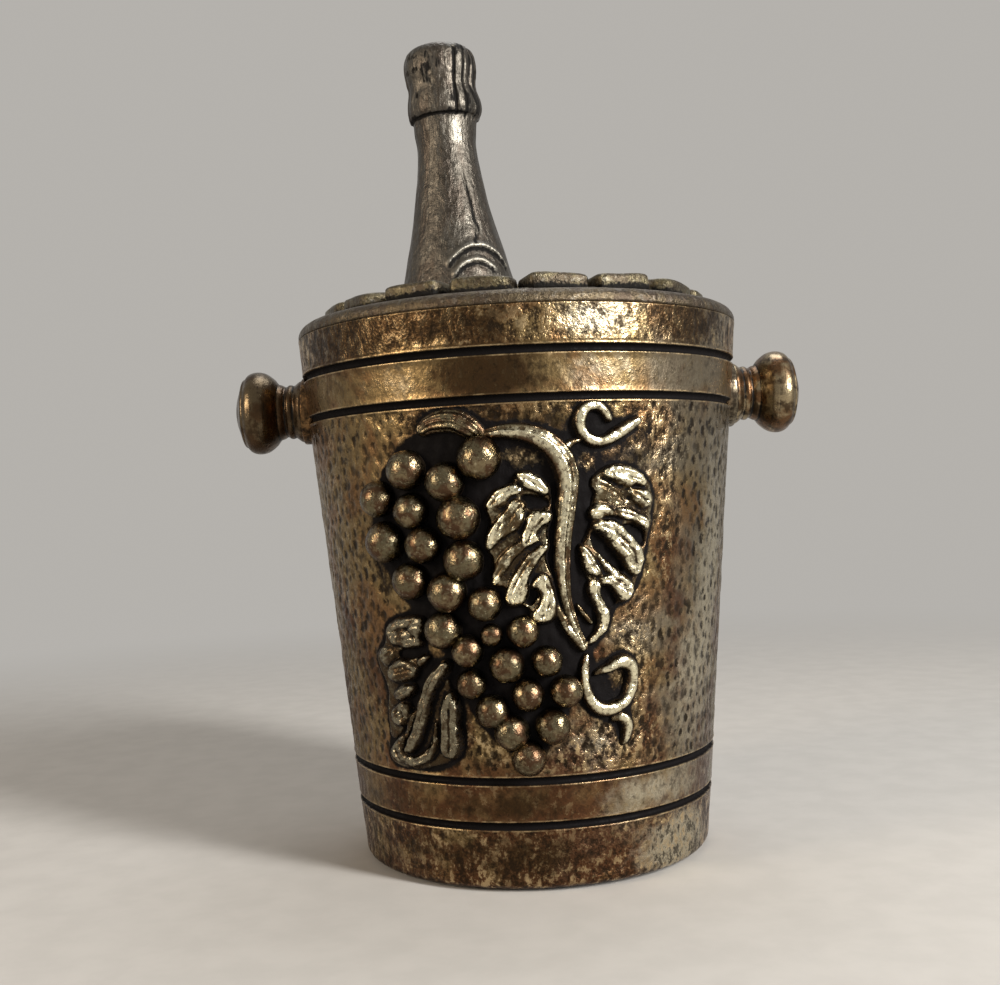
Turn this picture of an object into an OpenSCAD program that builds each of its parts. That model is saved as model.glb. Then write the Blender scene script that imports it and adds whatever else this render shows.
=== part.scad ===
// Toothpick holder in the shape of a wine cooler: a cast tapered bucket with a grapevine relief.
// Lifting the bottle raises the lid, the tube under it and the tray, so the toothpicks come up.
// Z points up, the origin is the centre of the base, and the relief faces -Y.

/* [Bucket] */
// Height of the cast bucket, up to the seam of the lid
bucket_h = 70.2; // [69:0.1:90]
// Outer diameter of the bucket's cone at the base
base_d = 47; // [46.5:0.1:60]
// Outer diameter of the bucket's cone at the seam of the lid
rim_d = 60.3; // [59:0.1:74]
// Thickness of the cast wall
wall_t = 2; // [1.4:0.1:2.2]
// Thickness of the cast floor
floor_t = 1.4; // [1.2:0.1:2]
// Radius of the rounded foot
foot_r = 1.2; // [0.6:0.1:2]
// Radius of the rounded rim
rim_r = 0.4; // [0.2:0.1:0.8]

/* [Grooves and bands] */
// Width of each black groove
groove_w = 0.95; // [0.5:0.05:1.5]
// Depth of each black groove
groove_depth = 0.6; // [0.2:0.05:0.9]
// Width of the upper smooth band, between the middles of its grooves
upper_band_w = 5.6; // [3:0.1:7]
// Drop from the lid's seam to the middle of the upper band
upper_band_drop = 8.1; // [6:0.1:10]
// Width of the lower smooth band, between the middles of its grooves
lower_band_w = 5.5; // [3:0.1:7]
// Rise from the base to the middle of the lower band
lower_band_rise = 11; // [8:0.1:14]

/* [Base pad] */
// Thickness of the felt pad
pad_t = 0.8; // [0.6:0.1:2]
// Diameter of the felt pad
pad_d = 41; // [30:0.5:42]
// Depth of the recess that the felt pad sits in
pad_recess = 0.5; // [0.2:0.1:0.6]

/* [Relief] */
// Width of the relief, seen from the front
relief_w = 36; // [28:0.5:38]
// Distance from the bucket's middle to the relief's middle, to the left
relief_shift = 2.5; // [0:0.1:3]
// Gap between the relief and the grooves above and below it
relief_margin = 0.75; // [0.3:0.05:3]
// Thickness of the blackened ground
ground_t = 0.35; // [0.2:0.05:0.6]
// Height of the leaves above the wall
leaf_t = 1.2; // [0.8:0.1:1.6]
// Distance from the wall to the middle of a stem or tendril
vine_rise = 0.6; // [0.2:0.05:0.8]
// Width of the main stem
stem_w = 2.1; // [1.4:0.1:2.6]
// Width of a tendril
tendril_w = 1.25; // [0.8:0.05:1.6]
// Diameter of a large grape
grape_d = 4; // [3.4:0.1:4.4]
// Distance from the wall to the middle of a grape
grape_rise = 0.3; // [0.1:0.05:0.6]

/* [Knobs] */
// Diameter of a knob's head
knob_d = 11.4; // [9:0.1:14]
// Length of a knob outside its boss
knob_l = 9.25; // [7:0.05:12]
// Diameter of the round boss that a knob sits on
boss_d = 9.2; // [8.5:0.1:10]
// Distance that each boss stands proud of the wall
boss_stand = 0.3; // [0.1:0.05:0.6]
// Distance from the middle of the upper band down to a knob's axis
knob_drop = 1.1; // [0:0.1:2]
// Diameter of a knob's threaded shank
shank_d = 3; // [2.5:0.1:3.4]
// Length of shank that shows past its nut
shank_end_l = 0.5; // [0.2:0.1:1]

/* [Nuts, washers and screws] */
// Width of a nut across its flats
nut_af = 5.5; // [5:0.1:6]
// Thickness of a nut
nut_t = 2.4; // [1.8:0.1:2.6]
// Diameter of a washer
washer_d = 7; // [6:0.1:8]
// Thickness of a washer
washer_t = 0.5; // [0.3:0.1:0.8]
// Diameter of the screws
screw_d = 2.5; // [2:0.1:2.8]
// Diameter of a screw's countersunk head
screw_head_d = 4.8; // [4.2:0.1:5.2]
// Length of the base screw
base_screw_l = 10; // [7:0.5:16]
// Length of the bottle screw
bottle_screw_l = 9; // [6:0.5:14]
// Width of a screw's driving slot
slot_w = 0.6; // [0.4:0.05:0.8]
// Depth of a screw's driving slot
slot_depth = 0.5; // [0.3:0.05:0.7]

/* [Toothpick cup] */
// Outer diameter of the cup
cup_d = 41.6; // [38:0.1:42]
// Thickness of the cup's wall
cup_wall_t = 1; // [0.7:0.1:1.4]
// Thickness of the cup's floor
cup_floor_t = 0.8; // [0.6:0.1:1.2]
// Distance that the cup's lip turns in
lip_in = 1.4; // [1:0.1:2]
// Thickness of the cup's lip
lip_t = 1.2; // [0.8:0.1:2]
// Width of the guide rib inside the cup
rib_w = 1.6; // [1:0.1:2.5]
// Depth of the guide rib inside the cup
rib_depth = 0.9; // [0.7:0.1:1]

/* [Lift] */
// Distance that the lid lifts before the tray meets the lip
lift = 40; // [25:0.5:45]
// Diameter of the guide rod
rod_d = 4.5; // [4.2:0.1:5]
// Diameter of the foot of the guide rod
rod_foot_d = 7.2; // [6.6:0.1:8]
// Thickness of the foot of the guide rod
rod_foot_t = 0.8; // [0.6:0.1:1.2]
// Gap between the top of the guide rod and the lid
rod_top_gap = 4; // [1:0.5:10]
// Thickness of the lift tube's wall
tube_wall_t = 0.8; // [0.6:0.1:1]
// Thickness of the tray
tray_t = 1; // [0.8:0.1:1.4]
// Height of the tray's hub
tray_hub_h = 4.4; // [4:0.1:6]
// Thickness of the hub round the tube
hub_wall_t = 1.5; // [1.1:0.1:2]
// Depth of the pick divider's top below the top of the cup
divider_drop = 0.4; // [0.1:0.1:10]
// Thickness of the pick divider
divider_t = 1.2; // [0.8:0.1:2]
// Height of the divider's hub
divider_hub_h = 3.6; // [2:0.1:5]
// Number of toothpick notches
notch_count = 16; // [8:1:20]
// Width of a toothpick notch
notch_w = 2.8; // [2.2:0.1:3]
// Depth of a toothpick notch, from the divider's edge
notch_depth = 4; // [2.5:0.1:6]
// Outer diameter of a retaining ring
ring_d = 9; // [8.4:0.1:10]
// Thickness of a retaining ring
ring_t = 0.6; // [0.4:0.1:0.8]

/* [Lid] */
// Thickness of the lid
lid_t = 1.8; // [1.6:0.1:3]
// Radius of the lid's rounded edge
lid_edge_r = 1.5; // [0.8:0.1:1.6]
// Height of the locating ring under the lid
spigot_h = 2.4; // [1.5:0.1:3]
// Thickness of the locating ring under the lid
spigot_t = 1.2; // [0.8:0.1:2]
// Height of the boss that holds the lift tube
lid_boss_h = 4; // [3:0.1:6]
// Diameter of the boss that holds the lift tube
lid_boss_d = 8.6; // [8:0.1:9]

/* [Ice] */
// Diameter of the ice bed
ice_d = 52; // [48:0.5:54]
// Thickness of the plate under the ice cubes
ice_plate_t = 0.6; // [0.4:0.1:1]
// Width of an ice cube along its row
cube_w = 7.6; // [6:0.1:8]
// Depth of an ice cube across its row
cube_depth = 6.2; // [5:0.1:7]
// Height of an ice cube above the plate
cube_h = 1.9; // [1.2:0.1:3]
// Width of the bevel on an ice cube
cube_bevel = 0.8; // [0.4:0.1:1.2]
// Gap between the rows of ice cubes
row_gap = 0.7; // [0.3:0.1:1.5]

/* [Bottle] */
// Length of bottle above the lid
bottle_h = 39.8; // [30:0.1:50]
// Diameter of the bottle where it meets the lid
bottle_d = 17.6; // [15:0.1:20]
// Distance from the bucket's axis to the bottle's foot, to the left
bottle_offset = 7.4; // [6.5:0.1:9]
// Lean of the bottle to the left, in degrees
bottle_lean = 2.5; // [0:0.5:5]

/* [Fits] */
// Radial clearance of the sliding tube on its rod
run_gap = 0.05; // [0.02:0.01:0.08]
// Radial clearance of a fixed fit
seat_gap = 0.02; // [0.01:0.01:0.04]
// Radial clearance of a shank in its hole
hole_gap = 0.1; // [0.05:0.01:0.2]
// Clearance between the tray and the cup's wall, floor and rib
tray_gap = 0.3; // [0.2:0.05:0.5]
// Clearance between the pick divider and the cup's lip
divider_gap = 0.9; // [0.5:0.1:1.5]
// Clearance of the lid's locating ring inside the bucket
spigot_gap = 0.25; // [0.15:0.05:0.4]
// Clearance between the relief and the wall that it is soldered to
relief_gap = 0.01; // [0.01:0.01:0.05]
// Clearance of the felt pad in its recess
pad_gap = 0.2; // [0.1:0.05:0.4]
// Clearance between the bottle and the ice
ice_gap = 0.2; // [0.1:0.05:0.4]
// Clearance left when the tray meets the lip
stop_gap = 0.1; // [0.05:0.05:0.3]

/* [Hidden] */
$fn = 64;
// Overrun of every cut
cut = bucket_h / 70;
// Steps of a rounded corner
arc_steps = 6;
// Turn of each row of ice cubes in degrees, from the outer row inwards
row_turns = [258.5, 12, 33];
// Numbers kept for the cubes of each row
row_numbers = 30;
// Flats round the cone that the relief is fitted to
wall_flats = 96;

// Heights, from the base up
foot_z = pad_t - pad_recess;
floor_z = pad_t + floor_t;
cup_floor_z = floor_z + cup_floor_t;
tray_z = cup_floor_z + tray_gap;
tray_top_z = tray_z + tray_t;
lip_z = tray_top_z + lift + stop_gap;
cup_top_z = lip_z + lip_t;
divider_z = cup_top_z - divider_drop - divider_t;
rod_top_z = bucket_h - rod_top_gap;
lid_top_z = bucket_h + lid_t;
ice_top_z = lid_top_z + ice_plate_t + cube_h;
upper_band_z = bucket_h - upper_band_drop;
knob_z = upper_band_z - knob_drop;
groove_zs = [lower_band_rise - lower_band_w / 2, lower_band_rise + lower_band_w / 2,
    upper_band_z - upper_band_w / 2, upper_band_z + upper_band_w / 2];
relief_z = groove_zs[1] + groove_w / 2 + relief_margin;
relief_h = groove_zs[2] - groove_w / 2 - relief_margin - relief_z;

// Radii of the bucket's cone and of its hollow
function outer_r(z) = (base_d + (rim_d - base_d) * z / bucket_h) / 2;
function inner_r(z) = outer_r(z) - wall_t;

// Distances along X at the knobs
boss_out = outer_r(knob_z + boss_d / 2) + boss_stand;
boss_in = sqrt(pow(inner_r(knob_z - boss_d / 2), 2) - pow(boss_d / 2, 2)) - boss_stand;
shank_tip = boss_in - washer_t - nut_t - shank_end_l;

// Radii of the lift and the cup
cup_in_r = cup_d / 2 - cup_wall_t;
lip_r = cup_in_r - lip_in;
tray_r = cup_in_r - tray_gap;
divider_r = lip_r - divider_gap;
tube_in_r = rod_d / 2 + run_gap;
tube_r = tube_in_r + tube_wall_t;
hub_r = tube_r + hub_wall_t;
tube_foot_z = tray_z + rod_foot_t + tray_gap;
spigot_r = inner_r(bucket_h - spigot_h) - spigot_gap;
screw_head_h = (screw_head_d - screw_d) / 2;

// Points of a quarter turn of radius r about [x, z], from angle a, in steps
function quarter(x, z, r, a) = [for (i = [0:arc_steps])
    let (t = a + 90 * i / arc_steps) [x + r * cos(t), z + r * sin(t)]];

// A groove's four corners on the outer wall, from below
function groove_points(z) = [
    [outer_r(z - groove_w / 2), z - groove_w / 2],
    [outer_r(z) - groove_depth, z - groove_w / 2],
    [outer_r(z) - groove_depth, z + groove_w / 2],
    [outer_r(z + groove_w / 2), z + groove_w / 2]
];

module bucket_profile() {
    polygon(concat(
        [[pad_d / 2 + pad_gap, foot_z]],
        quarter(outer_r(foot_z + foot_r) - foot_r, foot_z + foot_r, foot_r, -90),
        [for (z = groove_zs) each groove_points(z)],
        quarter(outer_r(bucket_h) - rim_r, bucket_h - rim_r, rim_r, 0),
        [[inner_r(bucket_h), bucket_h], [inner_r(floor_z), floor_z], [0, floor_z], [0, pad_t],
            [pad_d / 2 + pad_gap, pad_t]]
    ));
}

// A countersunk hole or screw that points up from z = 0, with its head's face down
module countersunk(r, head_r, length) {
    cylinder(r = r, h = length);
    cylinder(r1 = head_r, r2 = r, h = head_r - r);
}

// What stands along X, on the right and mirrored on the left
module each_side() {
    for (side = [0, 1]) mirror([side, 0, 0]) children();
}

// Points a shape that rises along Z out along X, at the knobs' height
module at_knob() {
    translate([0, 0, knob_z]) rotate([0, 90, 0]) children();
}

module bucket_shell() {
    color("#8a6a45") difference() {
        union() {
            rotate_extrude() bucket_profile();
            each_side() at_knob() translate([0, 0, boss_in]) cylinder(d = boss_d, h = boss_out - boss_in);
        }
        each_side() at_knob() translate([0, 0, boss_in - cut])
            cylinder(r = shank_d / 2 + hole_gap, h = boss_out - boss_in + 2 * cut);
        translate([0, 0, pad_t])
            countersunk(screw_d / 2 + hole_gap, screw_head_d / 2 + hole_gap, floor_t + cut);
    }
}

// Grapes as shares of the relief's width, its height and the large grape's diameter
grape_shares = [
    [0.16, 0.85, 1], [0.06, 0.77, 0.94], [0.17, 0.73, 0.92], [0.29, 0.81, 1], [0.4, 0.87, 1.1],
    [0.08, 0.65, 1.05], [0.21, 0.64, 0.95], [0.325, 0.71, 1.1], [0.34, 0.59, 1.03], [0.16, 0.54, 0.95],
    [0.28, 0.5, 1.03], [0.4, 0.47, 0.88], [0.26, 0.4, 0.98], [0.42, 0.38, 0.6], [0.52, 0.39, 0.82],
    [0.34, 0.34, 0.83], [0.46, 0.3, 0.92], [0.59, 0.31, 0.8], [0.345, 0.25, 0.78], [0.525, 0.215, 0.83],
    [0.65, 0.22, 0.83], [0.41, 0.17, 0.87], [0.47, 0.11, 0.9], [0.605, 0.125, 0.9], [0.52, 0.045, 0.9]
];

// Outlines as shares of the relief's width and height
ground_shares = [
    [0.17, 0.995], [0.4, 0.99], [0.6, 0.985], [0.73, 1], [0.88, 1], [0.98, 0.985], [0.99, 0.93],
    [0.94, 0.87], [1, 0.8], [1.01, 0.7], [0.98, 0.55], [0.93, 0.45], [0.88, 0.39], [0.81, 0.33],
    [0.9, 0.32], [0.935, 0.25],
    [0.91, 0.18], [0.92, 0.1], [0.87, 0.05], [0.8, 0.1], [0.7, 0.1], [0.61, 0.03], [0.52, -0.01],
    [0.44, 0.03], [0.33, 0], [0.2, -0.012], [0.05, -0.01], [0.01, 0.05], [0.02, 0.2], [-0.02, 0.29],
    [-0.01, 0.35], [0.01, 0.43], [0.13, 0.47], [0.09, 0.56], [0.01, 0.62], [-0.01, 0.72], [0.02, 0.82],
    [0.1, 0.92]
];
middle_leaf_shares = [
    [0.51, 0.82], [0.56, 0.825], [0.6, 0.8], [0.63, 0.76], [0.63, 0.68], [0.6, 0.655], [0.62, 0.62],
    [0.585, 0.55], [0.62, 0.51], [0.65, 0.42], [0.59, 0.4], [0.55, 0.415], [0.535, 0.47],
    [0.48, 0.465], [0.46, 0.53], [0.43, 0.525], [0.435, 0.575], [0.45, 0.605], [0.405, 0.62],
    [0.405, 0.655], [0.435, 0.695], [0.41, 0.725], [0.425, 0.76], [0.465, 0.78], [0.5, 0.79]
];
right_leaf_shares = [
    [0.8, 0.81], [0.87, 0.835], [0.945, 0.815], [0.975, 0.775], [0.975, 0.725], [0.945, 0.69], [0.96, 0.665],
    [0.94, 0.62], [0.94, 0.56], [0.9, 0.52], [0.885, 0.465], [0.82, 0.425], [0.81, 0.38], [0.75, 0.325],
    [0.72, 0.31], [0.765, 0.41], [0.73, 0.52], [0.715, 0.605], [0.76, 0.67], [0.755, 0.72], [0.775, 0.77]
];
left_leaf_shares = [
    [0.185, 0.435], [0.11, 0.42], [0.05, 0.395], [0.06, 0.345], [0.02, 0.335], [0.015, 0.305], [0.065, 0.285],
    [0.045, 0.255], [0.07, 0.235], [0.06, 0.21], [0.095, 0.175], [0.05, 0.14], [0.07, 0.1], [0.05, 0.04],
    [0.08, 0.015], [0.15, 0.01], [0.2, 0.05], [0.215, 0.095], [0.24, 0.04], [0.27, 0.03], [0.29, 0.065],
    [0.295, 0.18], [0.275, 0.23], [0.27, 0.285], [0.25, 0.31], [0.21, 0.285], [0.18, 0.32], [0.19, 0.4]
];

// Middle lines of the stems as shares of the relief's width and height
stem_shares = [
    [0.42, 0.935], [0.53, 0.95], [0.595, 0.93], [0.655, 0.89], [0.69, 0.84], [0.695, 0.77], [0.68, 0.7],
    [0.665, 0.625], [0.66, 0.555], [0.67, 0.475], [0.685, 0.42], [0.72, 0.33]
];
stub_shares = [[0.2, 0.95], [0.25, 0.965], [0.3, 0.97], [0.355, 0.96], [0.4, 0.925]];
low_tendril_shares = [
    [0.72, 0.32], [0.72, 0.25], [0.74, 0.195], [0.795, 0.165], [0.85, 0.18], [0.885, 0.23], [0.88, 0.275],
    [0.84, 0.295], [0.79, 0.275]
];
tail_shares = [[0.835, 0.14], [0.87, 0.12], [0.865, 0.08]];
top_tendril_shares = [
    [0.83, 0.95], [0.8, 0.975], [0.76, 0.97], [0.745, 0.935], [0.765, 0.905], [0.81, 0.9],
    [0.87, 0.92], [0.94, 0.955]
];

// A place on the front view, from its shares
function relief_point(p) = [(p[0] - 0.5) * relief_w - relief_shift, relief_z + p[1] * relief_h];

// The place on the wall behind a point of the front view, a rise off the wall
function wall_place(p, rise) = let (r = outer_r(p[1]) + rise) [p[0], -sqrt(pow(r, 2) - pow(p[0], 2)), p[1]];
function places(shares) = [for (p = shares) relief_point(p)];

// A cone round the bucket's axis, whose flats stand off the bucket's wall by a rise
module wall_cone(rise) {
    flats = cos(180 / wall_flats);
    foot = (outer_r(0) + rise) / flats;
    top = (outer_r(bucket_h) + rise) / flats;
    cylinder(r1 = foot, r2 = top, h = bucket_h, $fn = wall_flats);
}

// The part of the cone's front within height h of the wall that lies behind an outline
module raised(shares, h) {
    intersection() {
        rotate([90, 0, 0]) linear_extrude(height = rim_d) polygon(places(shares));
        wall_cone(h);
    }
}

// A round stem along a middle line, whose width runs from w0 to w1
module vine(shares, w0, w1) {
    path = places(shares);
    last = len(path) - 1;
    for (i = [0:last - 1]) hull() for (j = [i, i + 1])
        translate(wall_place(path[j], vine_rise)) sphere(d = w0 + (w1 - w0) * j / last, $fn = 10);
}

module grape_relief() {
    color("#a89468") difference() {
        union() {
            raised(ground_shares, ground_t);
            raised(middle_leaf_shares, leaf_t);
            raised(right_leaf_shares, leaf_t);
            raised(left_leaf_shares, leaf_t);
            vine(stem_shares, stem_w, tendril_w);
            vine(stub_shares, stem_w, stem_w);
            vine(low_tendril_shares, tendril_w, tendril_w);
            vine(tail_shares, tendril_w, tendril_w);
            vine(top_tendril_shares, tendril_w, tendril_w);
            for (p = grape_shares) translate(wall_place(relief_point(p), grape_rise))
                sphere(d = p[2] * grape_d, $fn = 16);
        }
        translate([0, 0, -cut]) cylinder(r = outer_r(foot_r), h = foot_r + cut);
        wall_cone(relief_gap);
    }
}

// Turned outline of a knob as shares of its length and of its head's diameter
knob_shares = [
    [0, 0.4], [0.04, 0.395], [0.085, 0.35], [0.13, 0.335], [0.17, 0.325], [0.22, 0.315], [0.28, 0.32],
    [0.33, 0.345], [0.37, 0.375], [0.43, 0.425], [0.5, 0.465], [0.58, 0.495], [0.67, 0.5], [0.76, 0.49],
    [0.81, 0.46],
    [0.85, 0.42], [0.87, 0.37], [0.91, 0.32], [0.96, 0.225], [0.99, 0.1], [1, 0]
];

module knob() {
    at_knob() {
        translate([0, 0, boss_out]) rotate_extrude()
            polygon(concat([[0, 0]], [for (p = knob_shares) [p[1] * knob_d, p[0] * knob_l]]));
        translate([0, 0, shank_tip]) cylinder(d = shank_d, h = boss_out - shank_tip + knob_l / 2);
    }
}

module right_knob() {
    color("#96703f") knob();
}

module left_knob() {
    color("#96703f") mirror([1, 0, 0]) knob();
}

module knob_washers() {
    color("#b5b5b0") each_side() at_knob() translate([0, 0, boss_in - washer_t]) difference() {
        cylinder(d = washer_d, h = washer_t);
        translate([0, 0, -cut]) cylinder(r = shank_d / 2 + hole_gap, h = washer_t + 2 * cut);
    }
}

module knob_nuts() {
    color("#b5b5b0") each_side() at_knob() translate([0, 0, boss_in - washer_t - nut_t]) difference() {
        cylinder(d = nut_af / cos(30), h = nut_t, $fn = 6);
        translate([0, 0, -cut]) cylinder(r = shank_d / 2 + seat_gap, h = nut_t + 2 * cut);
    }
}

module felt_pad() {
    color("#2f4a35") cylinder(d = pad_d, h = pad_t);
}

module screw(length) {
    difference() {
        countersunk(screw_d / 2, screw_head_d / 2, length);
        translate([-screw_head_d, -slot_w / 2, -cut]) cube([2 * screw_head_d, slot_w, slot_depth + cut]);
    }
}

module base_screw() {
    color("#c0c0bc") translate([0, 0, pad_t]) screw(base_screw_l);
}

module liner_cup() {
    color("#e8e4d8") {
        difference() {
            union() {
                rotate_extrude() polygon([[0, floor_z], [cup_d / 2, floor_z], [cup_d / 2, cup_top_z],
                    [lip_r, cup_top_z], [lip_r, lip_z], [cup_in_r, lip_z], [cup_in_r, cup_floor_z],
                    [0, cup_floor_z]]);
                translate([-rib_w / 2, cup_in_r - rib_depth, cup_floor_z - cup_floor_t / 2])
                    cube([rib_w, rib_depth + cup_wall_t / 2, lip_z - cup_floor_z + cup_floor_t]);
            }
            translate([0, 0, floor_z - cut]) cylinder(r = screw_d / 2 + hole_gap, h = cup_floor_t + 2 * cut);
        }
    }
}

module guide_rod() {
    color("#c8c8c4") translate([0, 0, cup_floor_z]) difference() {
        union() {
            cylinder(d = rod_foot_d, h = rod_foot_t);
            cylinder(d = rod_d, h = rod_top_z - cup_floor_z);
        }
        translate([0, 0, -cut])
            cylinder(r = screw_d / 2 + seat_gap, h = base_screw_l + cut - floor_t - cup_floor_t / 2);
    }
}

module lift_tube() {
    color("#d0ccb8") translate([0, 0, tube_foot_z]) difference() {
        cylinder(r = tube_r, h = bucket_h - tube_foot_z);
        translate([0, 0, -cut]) cylinder(r = tube_in_r, h = bucket_h - tube_foot_z + 2 * cut);
    }
}

// The tray's hub is hollow below, over the foot of the guide rod
module pick_tray() {
    color("#efe9d6") difference() {
        union() {
            translate([0, 0, tray_z]) cylinder(r = tray_r, h = tray_t);
            translate([0, 0, tray_z]) cylinder(r = hub_r, h = tray_hub_h);
        }
        translate([0, 0, tray_z - cut])
            cylinder(r = rod_foot_d / 2 + tray_gap, h = tube_foot_z - tray_z + cut);
        translate([0, 0, tray_z]) cylinder(r = tube_r + seat_gap, h = tray_hub_h + cut);
        translate([-rib_w / 2 - tray_gap, cup_in_r - rib_depth - tray_gap, tray_z - cut])
            cube([rib_w + 2 * tray_gap, rib_depth + tray_gap, tray_t + 2 * cut]);
    }
}

module retaining_ring() {
    difference() {
        cylinder(d = ring_d, h = ring_t);
        translate([0, 0, -cut]) cylinder(r = tube_r + seat_gap, h = ring_t + 2 * cut);
    }
}

module tray_ring() {
    color("#9a9a96") translate([0, 0, tray_z + tray_hub_h]) retaining_ring();
}

// A disc round the tube, with notches that open outwards for the toothpicks
module pick_divider() {
    color("#efe9d6") translate([0, 0, divider_z]) difference() {
        union() {
            linear_extrude(height = divider_t) difference() {
                circle(r = divider_r);
                for (i = [0:notch_count - 1]) rotate(360 * i / notch_count) {
                    translate([divider_r - notch_depth + notch_w / 2, 0]) circle(d = notch_w);
                    translate([divider_r - notch_depth + notch_w / 2, -notch_w / 2])
                        square([notch_depth, notch_w]);
                }
            }
            cylinder(r = hub_r, h = divider_hub_h);
        }
        translate([0, 0, -cut]) cylinder(r = tube_r + seat_gap, h = divider_hub_h + 2 * cut);
    }
}

module divider_ring() {
    color("#9a9a96") translate([0, 0, divider_z - ring_t]) retaining_ring();
}

module lid() {
    color("#8a6a45") difference() {
        union() {
            rotate_extrude() polygon(concat(
                [[0, bucket_h], [outer_r(bucket_h), bucket_h]],
                quarter(outer_r(bucket_h) - lid_edge_r, lid_top_z - lid_edge_r, lid_edge_r, 0),
                [[0, lid_top_z]]
            ));
            rotate_extrude() polygon([[spigot_r - spigot_t, bucket_h - spigot_h],
                [spigot_r, bucket_h - spigot_h], [spigot_r, bucket_h + lid_t / 2],
                [spigot_r - spigot_t, bucket_h + lid_t / 2]]);
            translate([0, 0, bucket_h - lid_boss_h]) cylinder(d = lid_boss_d, h = lid_boss_h + lid_t / 2);
        }
        translate([0, 0, bucket_h - lid_boss_h - cut]) cylinder(r = tube_r + seat_gap, h = lid_boss_h + cut);
        translate([-bottle_offset, 0, bucket_h])
            countersunk(screw_d / 2 + hole_gap, screw_head_d / 2 + hole_gap, lid_t + cut);
    }
}

// A flattened ice cube, bevelled on top, turned and tilted a little by its own number
module ice_cube(number) {
    turn = 7 * sin(137 * number);
    tilt = 3 * sin(211 * number);
    slope = 3 * cos(97 * number);
    rotate([tilt, slope, turn]) {
        translate([-cube_depth / 2, -cube_w / 2, -ice_plate_t / 2])
            cube([cube_depth, cube_w, cube_h + ice_plate_t / 2 - cube_bevel / 2]);
        translate([cube_bevel / 2 - cube_depth / 2, cube_bevel / 2 - cube_w / 2, 0])
            cube([cube_depth - cube_bevel, cube_w - cube_bevel, cube_h]);
    }
}

// One row of cubes round the axis, as many as fit
module ice_row(r, phase, first) {
    count = floor(360 / (2 * asin((cube_w + row_gap) / 2 / r)));
    for (i = [0:count - 1]) rotate(phase + 360 * i / count) translate([r, 0, 0]) ice_cube(first + i);
}

module ice_bed() {
    row_r = ice_d / 2 - cube_depth / 2;
    color("#8d8772") difference() {
        translate([0, 0, lid_top_z]) {
            cylinder(d = ice_d, h = ice_plate_t);
            translate([0, 0, ice_plate_t]) {
                for (row = [0:len(row_turns) - 1])
                    ice_row(row_r - row * (cube_depth + row_gap), row_turns[row], row * row_numbers);
                ice_cube(len(row_turns) * row_numbers);
            }
        }
        translate([-bottle_offset, 0, lid_top_z - cut])
            cylinder(d = bottle_d + 2 * ice_gap, h = ice_top_z + cut);
    }
}

// Outline of the bottle as shares of its height and of its diameter at the lid
bottle_shares = [
    [-0.06, 0.52], [0, 0.5], [0.1, 0.465], [0.19, 0.415], [0.245, 0.387], [0.315, 0.347], [0.41, 0.301],
    [0.53, 0.256], [0.62, 0.238], [0.67, 0.25], [0.72, 0.255], [0.725, 0.28], [0.755, 0.288], [0.8, 0.284],
    [0.835, 0.272], [0.865, 0.286], [0.92, 0.288], [0.96, 0.277], [0.985, 0.24], [1, 0.16], [1, 0]
];

module champagne_bottle() {
    color("#7d7566") difference() {
        translate([-bottle_offset, 0, lid_top_z]) rotate([0, -bottle_lean, 0])
            rotate_extrude() polygon(concat([[0, bottle_shares[0][0] * bottle_h]],
                [for (p = bottle_shares) [p[1] * bottle_d, p[0] * bottle_h]]));
        translate([-rim_d / 2, -rim_d / 2, lid_top_z - bottle_h]) cube([rim_d, rim_d, bottle_h]);
        translate([-bottle_offset, 0, lid_top_z - cut])
            cylinder(r = screw_d / 2 + seat_gap, h = bottle_screw_l - lid_t + 2 * cut);
    }
}

module bottle_screw() {
    color("#c0c0bc") translate([-bottle_offset, 0, bucket_h]) screw(bottle_screw_l);
}

bucket_shell();
grape_relief();
left_knob();
right_knob();
knob_washers();
knob_nuts();
felt_pad();
base_screw();
liner_cup();
guide_rod();
lift_tube();
pick_tray();
tray_ring();
pick_divider();
divider_ring();
lid();
ice_bed();
champagne_bottle();
bottle_screw();
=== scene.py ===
"""Dresses the toothpick holder: a hammered antique brass wine cooler with a grapevine relief on its front.

The packed model gives the frame. Every visible piece is made here in millimetres and put round it, the
pieces inside keep their packed shape, and all of them get their finishes.
"""

import math

import bpy
import numpy as np
from bpy.props import FloatProperty, FloatVectorProperty, IntProperty, PointerProperty
from mathutils import Matrix, Vector


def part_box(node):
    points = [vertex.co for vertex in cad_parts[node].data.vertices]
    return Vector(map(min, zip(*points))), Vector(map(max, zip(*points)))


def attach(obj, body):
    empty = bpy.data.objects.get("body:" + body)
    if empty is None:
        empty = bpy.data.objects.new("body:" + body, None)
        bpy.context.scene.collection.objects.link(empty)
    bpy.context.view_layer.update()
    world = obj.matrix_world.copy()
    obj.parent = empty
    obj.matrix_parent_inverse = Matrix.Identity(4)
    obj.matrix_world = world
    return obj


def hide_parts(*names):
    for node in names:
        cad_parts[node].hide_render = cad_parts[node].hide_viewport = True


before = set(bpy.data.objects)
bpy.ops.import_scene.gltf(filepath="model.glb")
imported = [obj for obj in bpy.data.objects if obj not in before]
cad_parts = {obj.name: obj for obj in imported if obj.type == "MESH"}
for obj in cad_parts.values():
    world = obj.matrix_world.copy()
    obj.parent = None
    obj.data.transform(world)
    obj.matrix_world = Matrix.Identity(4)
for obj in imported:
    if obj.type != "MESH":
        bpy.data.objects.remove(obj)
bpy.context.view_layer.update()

bl_info = {
    "name": "Toothpick holder",
    "version": (1, 0, 0),
    "blender": (4, 5, 0),
    "location": "View3D > Sidebar > Toothpick holder",
    "description": "Builds the outside of a wine cooler toothpick holder and finishes all of its pieces",
    "category": "Object",
}

# Metres in a millimetre; lengths below are in millimetres unless a property says otherwise
MM = 0.001

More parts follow.
